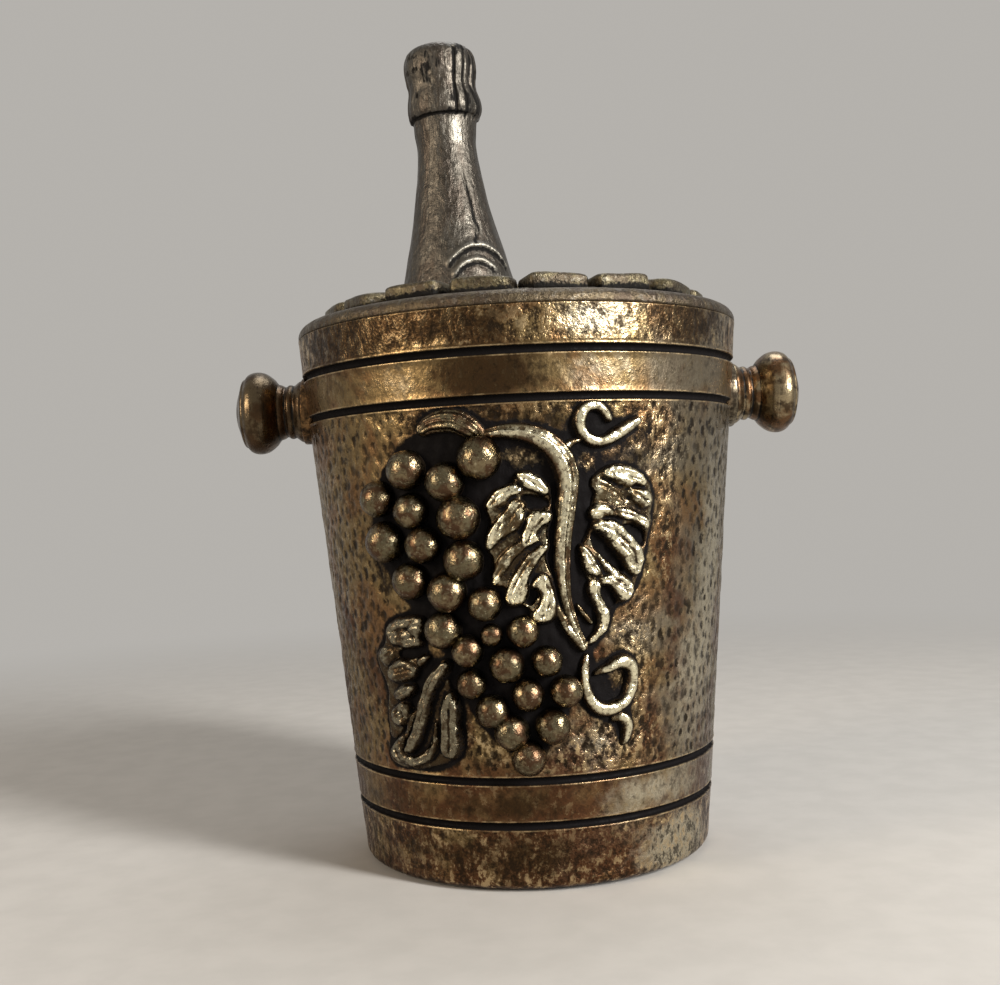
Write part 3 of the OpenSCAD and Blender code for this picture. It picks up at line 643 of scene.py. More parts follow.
LEFT_LEAF_PX = (
    (0.95, (382, 628), (390, 620), (409, 616), (421, 618), (421, 630), (417, 636), (421, 645), (411, 649),
     (396, 648), (387, 643)),
    (0.75, (376, 653), (380, 646), (388, 647), (394, 653), (390, 663), (382, 668), (376, 661)),
    (0.9, (384, 678), (386, 666), (393, 659), (407, 661), (415, 669), (413, 679), (402, 683), (390, 683)),
    (0.7, (412, 664), (417, 656), (428, 656), (423, 663), (417, 669)),
    (0.9, (389, 695), (396, 686), (410, 684), (413, 690), (407, 699), (396, 703)),
    (0.9, (387, 715), (392, 704), (405, 702), (407, 717), (401, 729), (391, 725)),
    (1.25, (446, 659), (436, 665), (424, 680), (418, 698), (414, 718), (410, 734), (402, 751), (409, 756),
     (418, 746), (426, 726), (430, 706), (434, 690), (443, 678), (450, 667)),
    (1.15, (449, 689), (441, 700), (438, 712), (440, 730), (438, 748), (444, 759), (454, 762), (460, 748),
     (457, 731), (458, 715), (457, 701)),
    (1.0, (388, 755), (391, 742), (402, 733), (405, 738), (401, 750), (411, 758), (426, 750), (431, 734),
     (434, 718), (438, 740), (434, 755), (422, 767), (402, 767)),
    (0.7, (408, 713), (414, 713), (410, 729), (405, 740), (400, 752), (397, 747), (403, 733), (404, 722)),
)
# Veins: lines pressed into the lobes
VEINS_PX = (
    ((519, 476), (531, 482), (544, 490)),
    ((489, 505), (500, 494), (517, 488)),
    ((489, 545), (500, 526), (513, 512), (521, 505)),
    ((527, 543), (534, 527), (548, 515)),
    ((494, 580), (505, 560), (520, 547), (534, 539)),
    ((510, 600), (517, 580), (530, 561), (545, 549)),
    ((547, 583), (551, 600), (542, 618)),
    ((607, 472), (622, 473), (640, 479)), ((604, 478), (616, 484), (631, 499)), ((615, 468), (612, 480)),
    ((598, 484), (610, 488), (628, 500)), ((634, 491), (648, 500)), ((596, 516), (606, 515), (618, 518)),
    ((620, 512), (636, 516), (648, 524)), ((602, 525), (620, 535), (634, 552), (638, 570)),
    ((584, 550), (592, 562), (601, 574)), ((603, 581), (616, 579), (628, 588), (629, 597)),
    ((597, 581), (601, 597), (608, 614), (604, 630), (594, 642)),
    ((392, 632), (404, 630), (414, 640)), ((404, 630), (412, 620)), ((390, 672), (400, 668), (411, 672)),
    ((392, 712), (399, 712), (401, 722)), ((393, 696), (405, 690)),
    ((445, 665), (430, 682), (424, 700), (420, 720), (414, 740), (408, 753)),
    ((449, 698), (448, 720), (449, 740), (448, 754)), ((394, 750), (402, 762), (421, 760), (432, 742)),
)
# Stems and tendrils: places along the middle line, with half the width there
STEM_PX = (
    (483, 434, 5), (503, 431, 7.5), (524, 432, 9.5), (543, 439, 11.5), (557, 451, 12.5), (566, 467, 12.5),
    (569, 484, 11.5), (567, 508, 10.5), (564, 537, 9.5), (563, 558, 9), (564, 579, 8), (567, 600, 6.5),
    (573, 619, 5.5), (578, 632, 5), (585, 647, 5),
)
STRAND_PX = ((555, 598, 2.5), (560, 612, 3.5), (567, 626, 4.5), (575, 637, 4.5), (584, 648, 4))
STUB_PX = (
    (421, 429, 7), (429, 424, 9), (441, 421, 11), (454, 421, 11.5), (465, 426, 11), (474, 432, 9),
    (480, 438, 5)
)
SPUR_PX = ((566, 447, 5), (573, 442, 3), (580, 440, 2))
TOP_TENDRIL_PX = (
    (611, 418, 3.5), (605, 409, 4.5), (598, 405, 5), (589, 406, 5.5), (583, 412, 6), (581, 421, 6),
    (583, 430, 5.5), (590, 438, 5.5), (598, 441, 5.5), (607, 440, 5.5), (618, 434, 6), (629, 427, 6),
    (640, 420, 4),
)
LOW_TENDRIL_PX = (
    (588, 657, 3), (586, 670, 5), (586, 684, 5.5), (590, 697, 6), (597, 706, 6.5), (606, 710, 7),
    (616, 708, 7), (626, 701, 6.5), (632, 690, 6.5), (634, 678, 6.5), (633, 667, 7), (627, 662, 7.5),
    (619, 663, 6.5), (611, 668, 5), (603, 671, 3.5), (597, 674, 2),
)
TAIL_PX = ((616, 719, 3), (624, 717, 5.5), (629, 724, 6), (629, 733, 5), (626, 743, 3))

# Relief grid: its edges in arc length and height, its pitch and the height where nothing is raised
RELIEF_LEFT, RELIEF_RIGHT = -25.0, 18.0
RELIEF_LOW, RELIEF_HIGH = 14.3, 58.8
RELIEF_PITCH = 0.14
RELIEF_FLOOR = -0.6

# Lobes: width of the rounded shoulder, growth past the traced outline, chips in the edge, veins and ribs
LOBE_SHOULDER = 0.62
OUTLINE_GROWTH = 0.15
CHIP_DEPTH, CHIP_SIZE = 0.09, 0.75
VEIN_W = 0.18
VEIN_DEPTH = 0.18
RIB_PITCH = 0.62
RIB_DEPTH = 0.045

# Fall of a flank outside its edge, a vine's flank as a share of its rise, and the width of the black halo
FLANK_FALL = 3
VINE_FLANK = 0.3
HALO_SIZE = 0.85


def rounded_outline(points, passes=2):
    """Cuts the corners of a closed outline."""
    points = np.asarray(points, float)
    for _ in range(passes):
        after = np.roll(points, -1, 0)
        points = np.stack([0.75 * points + 0.25 * after, 0.25 * points + 0.75 * after], 1).reshape(-1, 2)
    return points


def smooth_line(points, steps=6):
    """More points along a smooth curve through the given ones."""
    p = np.asarray(points, float)
    p = np.concatenate([2 * p[:1] - p[1:2], p, 2 * p[-1:] - p[-2:-1]])
    made = []
    for a, b, c, d in zip(p[:-3], p[1:-2], p[2:-1], p[3:]):
        for t in np.linspace(0, 1, steps, endpoint=False):
            bend = (2 * a - 5 * b + 4 * c - d) * t**2 + (3 * b - a - 3 * c + d) * t**3
            made.append(0.5 * (2 * b + (c - a) * t + bend))
    return np.array([*made, p[-2]])


def depth_inside(at, outline):
    """Distance of each point from an outline, positive inside."""
    near = path_distance(at, [*outline, outline[0]])
    inside = np.zeros(len(at), bool)
    for a, b in zip(outline, np.roll(outline, -1, 0)):
        crosses = (a[1] > at[:, 1]) != (b[1] > at[:, 1])
        side = a[0] + (at[:, 1] - a[1]) * (b[0] - a[0]) / ((b[1] - a[1]) or NOTHING)
        inside ^= crosses & (at[:, 0] < side)
    return np.where(inside, near, -near)


class ReliefField:
    """Heights above the wall on a grid over the front of the bucket."""

    def __init__(self):
        self.arcs = np.arange(RELIEF_LEFT, RELIEF_RIGHT, RELIEF_PITCH)
        self.zs = np.arange(RELIEF_LOW, RELIEF_HIGH, RELIEF_PITCH)
        self.at = np.stack(np.meshgrid(self.arcs, self.zs), -1)
        self.height = np.full(self.at.shape[:2], RELIEF_FLOOR)
        self.leaf = np.zeros(self.at.shape[:2])

    def window(self, line, margin):
        """The grid's rows and columns round a line, with a margin."""
        low = (line.min(0) - margin - self.at[0, 0]) / RELIEF_PITCH
        high = (line.max(0) + margin - self.at[0, 0]) / RELIEF_PITCH
        first = np.maximum(np.floor(low).astype(int), 0)
        last = np.ceil(high).astype(int) + 1
        return slice(first[1], last[1]), slice(first[0], last[0])

    def raise_to(self, window, height, leaf):
        """Keeps the higher of what is there and the new heights."""
        old = self.height[window]
        self.leaf[window] = np.where(height > old, leaf, self.leaf[window])
        self.height[window] = np.maximum(old, height)

    def fill(self, window, inside, height, leaf):
        """Raises the inside of an outline; outside, its flank falls away."""
        self.raise_to(window, np.where(inside > 0, height, FLANK_FALL * inside), leaf)

    def outline(self, rise, pixels):
        """A rounded outline on the wall, and the grid points near it with their distance inside."""
        outline = rounded_outline(wall_line(pixels, rise))
        window = self.window(outline, 0.5)
        at = self.at[window]
        chips = CHIP_DEPTH * grain(np.concatenate([at, 0 * at[..., :1]], -1), CHIP_SIZE, 23)
        inside = depth_inside(at.reshape(-1, 2), outline).reshape(at.shape[:2]) + OUTLINE_GROWTH + chips
        return outline, window, inside

    def lobe(self, rise, share, pixels, leaf):
        """A pillowed leaf lobe inside an outline, with faint ribs along it."""
        outline, window, inside = self.outline(rise, pixels)
        middle = outline.mean(0)
        across = np.linalg.svd(outline - middle, full_matrices=False)[2][1]
        ribs = np.cos((self.at[window] - middle) @ across * 2 * math.pi / RIB_PITCH)
        part = np.clip(inside / LOBE_SHOULDER, 0, 1)
        height = rise * share * (0.75 * np.sqrt(part * (2 - part)) + 0.25 * part) - RIB_DEPTH * ribs * part
        self.fill(window, inside, height, leaf)

    def body(self, rise, pixels, leaf):
        """The low flat web that joins a leaf's lobes."""
        _, window, inside = self.outline(rise, pixels)
        self.fill(window, inside, rise * ease(0, 0.5, inside), leaf)

    def hole(self, rise, pixels):
        """Takes the web away inside an outline."""
        _, window, inside = self.outline(rise, pixels)
        self.height[window] = np.minimum(self.height[window], 0.1 - rise * 2 * np.clip(inside, -1, 1))

    def vein(self, rise, pixels):
        """A narrow valley along a line, where something is raised."""
        path = wall_line(smooth_line(pixels, 5), rise)
        window = self.window(path, 1)
        valley = VEIN_DEPTH * bell(path_distance(self.at[window], path), VEIN_W)
        self.height[window] -= valley * (self.height[window] > 0.3)

    def vine(self, rise, pixels, ribs=0, rib_depth=0.0, groove=None, leaf=0.75, girth=1.06):
        """A round stem or tendril, ribbed or grooved along its length."""
        line = smooth_line(pixels)
        path = wall_line(line, rise)
        half = girth * line[:, 2] / on_wall(line[:, 0], line[:, 1], rise)[2]
        window = self.window(path, 2.5)
        shape = self.at[window].shape[:2]
        at = self.at[window].reshape(-1, 2)
        best = np.full(len(at), 9.0)
        side = np.zeros(len(at))
        width = np.ones(len(at))
        for a, b, start_w, end_w in zip(path[:-1], path[1:], half[:-1], half[1:]):
            part, off = to_edge(at, a, b)
            w = start_w + part * (end_w - start_w)
            ratio = np.linalg.norm(off, axis=1) / w
            turn = np.sign((b - a)[0] * off[:, 1] - (b - a)[1] * off[:, 0])
            nearer = ratio < best
            best = np.where(nearer, ratio, best)
            side = np.where(nearer, turn * ratio, side)
            width = np.where(nearer, w, width)
        height = VINE_FLANK * rise + width * np.sqrt(np.clip(1 - best**2, 0, 1))
        height -= rib_depth * (0.5 - 0.5 * np.cos(side * math.pi * ribs)) * (best < 1)
        if groove is not None:
            height -= 0.35 * bell(side - groove, 0.2)
        height = np.where(best < 1, height, VINE_FLANK * rise - (best - 1) * width * FLANK_FALL)
        share = leaf * (1 - 0.6 * ease(0.35, 0.85, np.clip(best, 0, 1)))
        self.raise_to(window, np.maximum(height, RELIEF_FLOOR).reshape(shape), share.reshape(shape))

    def blurred(self, values, size):
        """Values averaged over a Gaussian of that size."""
        reach = int(3 * size / RELIEF_PITCH)
        weights = np.exp(-0.5 * (np.arange(-reach, reach + 1) * RELIEF_PITCH / size) ** 2)
        weights /= weights.sum()

        def averaged(line):
            return np.convolve(np.pad(line, reach, "edge"), weights, "valid")

        return np.apply_along_axis(averaged, 1, np.apply_along_axis(averaged, 0, values))

    def sample(self, values, arc, z):
        """Values at any places, between the grid's points."""
        x = np.clip((arc - self.arcs[0]) / RELIEF_PITCH, 0, len(self.arcs) - 1.001)
        y = np.clip((z - self.zs[0]) / RELIEF_PITCH, 0, len(self.zs) - 1.001)
        i, j = x.astype(int), y.astype(int)
        u, v = x - i, y - j
        low = values[j, i] * (1 - u) + values[j, i + 1] * u
        high = values[j + 1, i] * (1 - u) + values[j + 1, i + 1] * u
        out = (arc < self.arcs[0]) | (arc > self.arcs[-1]) | (z < self.zs[0]) | (z > self.zs[-1])
        return np.where(out, 0, low * (1 - v) + high * v)


def relief_field(size):
    """The leaves, stems and tendrils as heights, and how much of the wall round them is blackened."""
    field = ReliefField()
    leaf_rise, vine_rise = size.leaf_rise / MM, size.vine_rise / MM
    for share, leaf, *outline in LEAF_BODIES_PX:
        field.body(leaf_rise * share, outline, leaf)
    for outline in LEAF_HOLES_PX:
        field.hole(leaf_rise, outline)
    for leaf, lobes in ((0.95, MIDDLE_LEAF_PX), (0.9, RIGHT_LEAF_PX), (-0.7, LEFT_LEAF_PX)):
        for share, *outline in lobes:
            field.lobe(leaf_rise, share, outline, leaf)
    for line in VEINS_PX:
        field.vein(leaf_rise, line)
    field.vine(vine_rise, STEM_PX, 5, 0.1, groove=0.4, leaf=0.7, girth=0.96)
    field.vine(vine_rise, STUB_PX, 4, 0.3, leaf=0.35)
    for line in (STRAND_PX, SPUR_PX, TOP_TENDRIL_PX, LOW_TENDRIL_PX, TAIL_PX):
        field.vine(vine_rise, line)
    cover = (field.height > 0).astype(float)
    for px, py, radius in GRAPES_PX:
        arc, z, scale = on_wall(px, py, 0.6)
        far = np.hypot(field.at[..., 0] - arc, field.at[..., 1] - z)
        cover = np.maximum(cover, far < radius / scale)
    near = ease(0.14, 0.4, field.blurred(cover, HALO_SIZE))
    for share, *outline in GROUND_PX:
        _, window, inside = field.outline(0, outline)
        near[window] = np.maximum(near[window], share * ease(-0.4, 0.6, inside))
    field.ground = near * (1 - patches(RUBBED_PX, field.at[..., 0], field.at[..., 1]))
    return field


def pits(turn, z, spacing, width, seed):
    """Depth, 0 to 1, of jittered round dents over the bucket's wall."""
    around = int(2 * math.pi * ARC_R / spacing)
    rows = int(BUCKET_H / spacing) + 4
    jitter = np.random.default_rng(seed).random((rows, around, 4))
    u, v = turn / (2 * math.pi) * around, z / spacing
    deepest = np.zeros(np.broadcast(u, v).shape)
    for dj in (-1, 0, 1):
        j = np.floor(v).astype(int) + dj
        for di in (-1, 0, 1, 2):
            i = np.floor(u).astype(int) + di - (j % 2) // 2
            own = jitter[j % rows, i % around]
            across = (u - i - 0.5 * (j % 2) - 0.7 * (own[..., 0] - 0.5)) * spacing
            along = (v - j - 0.5 - 0.7 * (own[..., 1] - 0.5)) * spacing
            reach = width / 2 * (0.65 + 0.6 * own[..., 2])
            part = np.clip(1 - (across**2 + (0.7 * along) ** 2) / reach**2, 0, 1)
            deepest = np.maximum(deepest, part**0.8 * (0.55 + 0.45 * own[..., 3]))
    return deepest


def patches(places, arc, z):
    """The sum of soft patches of a table: middle, half width, half height and amount."""
    total = 0 * arc
    for px, py, half_w, half_h, amount in places:
        middle_arc, middle_z, scale = on_wall(px, py)
        across, up = (arc - middle_arc) * scale / half_w, (z - middle_z) * scale / half_h
        total = total + amount * np.exp(-(across**2) - up**2)
    return total


def wall_profile(pitch):
    """Rows of the outer wall, foot to rim: radius, height, and shares of hammering, paint, band and lip."""
    rows = []

    def add(r, z, hammered=0.0, painted=0.0, band=0.0, lip=0.0):
        rows.append((r, z, hammered, painted, band, lip))

    for r, z in arc_points(cone(FOOT_Z + FOOT_R) - FOOT_R, FOOT_Z + FOOT_R, FOOT_R, -90, 0, 7):
        add(r, z, 0.3)
    z = FOOT_Z + FOOT_R
    for hammered, middle in zip(STRETCH_HAMMERED, (*GROOVE_ZS, None)):
        band = float(hammered == 0)
        top = BUCKET_H - RIM_ROUND if middle is None else middle - GROOVE_W / 2 - LIP_W
        count = max(4, round((top - z) / (2 * pitch if band else pitch)))
        for step in np.linspace(z, top, count + 1)[1:]:
            add(cone(step), step, hammered, 0, band)
        if middle is None:
            break
        low, high = middle - GROOVE_W / 2, middle + GROOVE_W / 2
        for inwards, out, painted, lip in GROOVE_ROWS:
            add(cone(low) + out, low + inwards, 0, painted, 1, lip)
        add(cone(middle) - GROOVE_DEPTH, middle, 0, 1, 1)
        for inwards, out, painted, lip in reversed(GROOVE_ROWS):
            add(cone(high) + out, high - inwards, 0, painted, 1, lip)
        z = high + LIP_W
        add(cone(z), z, 0, 0, 1)
    for r, z in arc_points(cone(BUCKET_H) - RIM_ROUND, BUCKET_H - RIM_ROUND, RIM_ROUND, 0, 90, 4)[1:]:
        add(r, z, 0.3, 0, 0, 0.2)
    return np.array(rows)


def boss(side):
    """The round boss under a knob, through the wall."""
    profile = [
        (HUB, BOSS_IN), (BOSS_R, BOSS_IN), (BOSS_R, BOSS_OUT - 0.25), (BOSS_R - 0.08, BOSS_OUT - 0.07),
        (BOSS_R - 0.25, BOSS_OUT), (HUB, BOSS_OUT),
    ]
    points, faces, _ = sideways(turned(profile, 64), side)
    edge = ease(BOSS_R - 0.4, BOSS_R, np.hypot(points[:, 1], points[:, 2] - KNOB_Z))
    return points, faces, {"paint": 0.35 * edge}


def swatch(name, description, *colour):
    """A colour property."""
    return FloatVectorProperty(name=name, description=description, size=3, subtype="COLOR", default=colour)


def length(name, description, metres):
    """A length property."""
    return FloatProperty(name=name, description=description, default=metres, unit="LENGTH")


def amount(name, description, value):
    """A plain number property."""
    return FloatProperty(name=name, description=description, default=value)


class HolderBucketSizes(bpy.types.PropertyGroup):
    """Sizes and colours of the hammered bucket."""

    dent_spacing: length("Dent spacing", "Distance between hammer dents", 0.0015)
    dent_width: length("Dent width", "Width of a middling hammer dent", 0.00105)
    dent_depth: length("Dent depth", "Depth of the deepest dents", 0.00016)
    columns: IntProperty(
        name="Columns", description="Points round the bucket", default=560, min=128, max=1024
    )
    pitch: length("Row pitch", "Distance between rows on the hammered wall", 0.00033)
    brass: swatch("Brass", "Olive brass of the wall", 0.215, 0.148, 0.067)
    copper: swatch("Copper", "Copper-brown patches", 0.199, 0.111, 0.049)
    grey: swatch("Grey", "Grey-brown patches", 0.212, 0.18, 0.128)
    red: swatch("Red-brown", "Red-brown patina near the foot", 0.088, 0.035, 0.018)
    glint: swatch("Glint", "Gold where the surface was rubbed", 0.70, 0.52, 0.285)
    # Pale brass and umber also carry the painted highlights and painted shade of the tone layer
    pale: swatch("Pale brass", "Whitish brass where the tarnish is gone", 0.493, 0.44, 0.326)
    umber_and_shade: swatch("Umber", "Dark copper-brown tarnish", 0.056, 0.032, 0.015)
    dent: swatch("Dent", "Dark patina in the dents", 0.02, 0.014, 0.009)
    # Greying towards +X is a painted reflection
    reflection_greying: amount("Greying", "How fast the wall greys towards +X, per metre", 8.0)
    reddening: amount("Reddening", "How fast the red-brown fades upwards, per metre", 6.0)
    paint: swatch("Black", "Black in the grooves and round the relief", 0.006, 0.005, 0.005)


class HolderReliefSizes(bpy.types.PropertyGroup):
    """Sizes and colours of the grapevine relief."""

    leaf_rise: length("Leaf rise", "Height of the leaves above the wall", 0.0012)
    vine_rise: length("Vine rise", "Height of a stem's flanks above the wall", 0.0008)
    grape_rise: length("Grape rise", "Distance from the wall to a grape's middle", 0.0004)
    gilt: swatch("Gilt", "Gold on the grapes", 0.216, 0.168, 0.096)
    bronze: swatch("Bronze", "Brown on the grapes and in the veins", 0.088, 0.05, 0.028)
    olive: swatch("Olive", "Olive tarnish on the grapes", 0.144, 0.124, 0.074)
    low: swatch("Low gold", "Brown gold on the flanks of the leaves and stems", 0.10, 0.072, 0.038)
    shade: swatch("Shade", "Dark brown low on the relief", 0.04, 0.026, 0.014)
    pale: swatch("Pale gold", "Rubbed gold on the leaves and stems", 0.92, 0.85, 0.60)
    paint: swatch("Black", "Black in the creases", 0.006, 0.005, 0.005)


class HolderPewterSizes(bpy.types.PropertyGroup):
    """Sizes and colours of the bottle, the ice and the lid."""

    bottle: swatch("Bottle", "Grey pewter of the bottle", 0.084, 0.075, 0.062)
    ice: swatch("Ice", "Green-brown pewter of the ice", 0.124, 0.104, 0.062)
    lid: swatch("Lid", "Dull brown of the lid's edge", 0.1, 0.077, 0.048)
    brown: swatch("Brown", "Brown stains", 0.06, 0.044, 0.034)
    dark: swatch("Dark", "Dark streaks", 0.02, 0.016, 0.012)
    # Bright also paints the highlights on the bottle
    bright: swatch("Bright", "Bright rubbed lines", 0.288, 0.268, 0.224)
    # Seam black also paints the shade under the cap's edge and between the ice cubes
    seam: swatch("Seam", "Black in the seams", 0.008, 0.007, 0.006)
    pleat_depth: length("Pleat depth", "Depth of the pleats in the foil cap", 0.00022)


class HolderKnobSizes(bpy.types.PropertyGroup):
    """Colours of the turned knobs."""

    copper: swatch("Copper", "Copper-brown of the knobs", 0.143, 0.076, 0.036)
    gold: swatch("Gold", "Rubbed gold", 0.311, 0.244, 0.147)
    # Dark also paints the shade on the left knob
    dark: swatch("Dark", "Dark turning lines", 0.05, 0.032, 0.018)
    seam: swatch("Hollow", "Black in the hollows", 0.008, 0.007, 0.006)


class HolderInnerColours(bpy.types.PropertyGroup):
    """Colours of the pieces inside and underneath."""

    cup: swatch("Cup", "Ivory plastic", 0.72, 0.68, 0.57)
    tray: swatch("Tray", "Cream plastic", 0.76, 0.70, 0.56)
    steel: swatch("Steel", "Zinc-plated steel", 0.56, 0.56, 0.54)
    tube: swatch("Tube", "Drawn brass", 0.66, 0.50, 0.26)
    felt: swatch("Felt", "Dark green felt", 0.035, 0.075, 0.045)


class HolderStageSizes(bpy.types.PropertyGroup):
    """The floor, the background and the lamps."""

    background: swatch("Background", "Colour of the floor and the background", 0.46, 0.442, 0.415)
    world_light: amount("World light", "Strength of the light from all round, against the background", 0.5)
    key_power: amount("Key lamp", "Power of the soft lamp at the right, in watts", 4.9)
    fill_power: amount("Fill lamp", "Power of the warm lamp at the left, in watts", 1.15)
    top_power: amount("Top lamp", "Power of the lamp above, in watts", 0.9)


class AddBucket(bpy.types.Operator):
    """Adds the hammered bucket, with its grooves, bands, bosses and hollow"""

    bl_idname = "holder.add_bucket"
    bl_label = "Bucket"

    # Unevenness of the wall: height, size and seed of each grain, and how far hammering sinks the wall
    hammer_waves = ((0.07, 2.2, 3), (0.035, 1.1, 4))
    hammer_sink = 0.06
    cast_waves = (0.03, 9, 5)
    dent_seed = 11
    # Speckle: on the low and the upper plain stretches, on the wall and on the bands
    speckle_low, speckle_high, speckle_wall, speckle_band = 0.68, 0.8, 0.2, 0.25
    scratch_w = 0.22
    # The dull inside: its tone and its paint, and the rows down it
    inside_look = (("tone", -0.6), ("paint", 0.22))
    inside_rows = 12

    def execute(self, context):
        size = context.scene.holder_bucket
        rows = wall_profile(size.pitch / MM)
        turn = turns_round(size.columns)
        z = rows[:, 1:2] + 0 * turn
        arc = turn * ARC_R + 0 * z
        flat = round_axis(rows[:, :1], arc, z)
        hammered, painted, band, lip = (rows[:, n:n + 1] + 0 * turn for n in range(2, 6))
        wall = hammered > 0.95
        spacing, width = size.dent_spacing / MM, size.dent_width / MM
        dents = pits(turn % (2 * math.pi), rows[:, 1:2], spacing, width, self.dent_seed)
        dents = dents * np.where(wall, 1, 0.45 * hammered)
        push = hammered * (waves(flat, *self.hammer_waves) - self.hammer_sink)
        push = push + waves(flat, self.cast_waves) * (painted == 0) - size.dent_depth / MM * dents
        field = relief_field(context.scene.holder_relief)
        halo = field.sample(field.ground, arc, z) * (hammered > 0)
        bright = np.clip(patches(WORN_PX, arc, z), 0, 1)
        plain = np.where(z < GROOVE_ZS[0], self.speckle_low, self.speckle_high)
        speckled = np.where(wall, self.speckle_wall + (1 - self.speckle_wall) * bright, plain)
        worn = speckled * (hammered > 0) + self.speckle_band * band
        scratch = bell(path_distance(np.stack([arc, z], -1), wall_line(SCRATCH_PX)), self.scratch_w)
        # The tone layer holds tarnish together with painted highlights and painted shade
        layers = {
            "pit": dents, "paint": np.maximum(painted, halo), "worn": worn, "lip": np.maximum(lip, scratch),
            "tone": patches(TARNISH_AND_PAINTED_LIGHT_PX, arc, z),
        }
        outer = turned(rows[:, :2], size.columns, push, layers)
        mouth = cone(BUCKET_H) - WALL_T
        hollow = [
            tuple(rows[-1, :2]), (mouth, BUCKET_H), (mouth - 0.05, BUCKET_H - 0.1),
            *[(cone(h) - WALL_T, h) for h in np.linspace(BUCKET_H - 1, FLOOR_Z + 0.4, self.inside_rows)],
            (cone(FLOOR_Z) - WALL_T - 0.4, FLOOR_Z), (HUB, FLOOR_Z),
        ]
        base = [(HUB, PAD_TOP), (PAD_R, PAD_TOP), (PAD_R, FOOT_Z), tuple(rows[0, :2])]
        dull = {name: np.full((len(hollow), ROUND), share) for name, share in self.inside_look}
        parts = outer, turned(hollow, ROUND, None, dull), turned(base, ROUND), boss(1), boss(-1)
        make_piece(
            "bucket_skin", joined(*parts), "bucket", hammered_brass(size), ["bucket_shell"]
        )
        return {"FINISHED"}


class AddRelief(bpy.types.Operator):
    """Adds the grapevine relief: leaves, stems and tendrils as one carved sheet, and round grapes"""

    bl_idname = "holder.add_relief"
    bl_label = "Grapevine relief"

    # Cast roughness: height, size and seed of each grain
    cast_waves = ((0.13, 0.9, 21), (0.06, 0.45, 22))
    # Reach of the creases and crests, and the height below which the sheet is left out
    crease_size, crest_size = 0.45, 1.1
    sheet_low = -0.12
    grape_growth = 1.2
    grape_waves = (0.035, 1.0, 7)
    grape_seed = 31

    def execute(self, context):
        size = context.scene.holder_relief
        field = relief_field(size)
        arc, z = field.at[..., 0], field.at[..., 1]
        wall = round_axis(cone(z), arc, z)
        height = field.height + waves(wall, *self.cast_waves) * np.clip(field.height, 0, 1)
        shown = np.maximum(height, -0.1)
        slope = np.hypot(*np.gradient(shown, RELIEF_PITCH))
        crease = np.clip((field.blurred(shown, self.crease_size) - shown) / 0.24, 0, 1)
        # Steep flanks are darkened as painted shade; hollows and the low edges darken as patina
        crease = np.maximum(crease, np.maximum(1 - ease(0.0, 0.42, height), 0.66 * ease(0.6, 2.0, slope)))
        proud = shown - field.blurred(np.maximum(shown, 0), self.crest_size)
        crest = ease(0.04, 0.46, proud) * ease(0.4, 0.9, shown)
        points = round_axis(cone(z) + height, arc, z).reshape(-1, 3)
        faces = quads(*arc.shape, closed=False)
        faces = faces[height.reshape(-1)[faces].max(1) > self.sheet_low]
        used, index = np.unique(faces, return_inverse=True)
        layers = {"crease": crease, "leaf": field.leaf, "crest": crest}
        layers = {name: values.reshape(-1)[used] for name, values in layers.items()}
        sheet = (points[used], index.reshape(-1, 4), layers)
        rng = np.random.default_rng(self.grape_seed)
        grapes = [self.grape(*place, size.grape_rise / MM, rng) for place in GRAPES_PX]
        make_piece("relief", joined(sheet, *grapes), "bucket", gilt(size), ["grape_relief"])
        return {"FINISHED"}

    def grape(self, px, py, radius, rise, rng):
        """A slightly uneven ball sunk in the wall, darker towards its foot, with painted shade on its left.
        """
        arc, z, scale = on_wall(px, py, rise)
        r = float(radius / scale) * self.grape_growth
        lean = float(arc) / ARC_R
        out = np.array([math.sin(lean), -math.cos(lean), 0])
        right = np.array([math.cos(lean), math.sin(lean), 0])
        points, faces, _ = turned(arc_points(0, 0, 1, -88, 88, 21), 30)
        dents = 1 + waves(points * 2 + rng.uniform(0, 90, 3), self.grape_waves)
        points = points * dents[:, None] * r + out * 0.06 * r
        # Painted shade on the grape's left side
        shade = 0.3 * ease(0.2, -0.9, points @ right / r - 0.5 * points[:, 2] / r)
        crease = 1 - ease(-0.4, 0.45, points @ out / r) + shade
        return points + round_axis(cone(z) + rise, arc, z).reshape(3), faces, {"crease": crease}


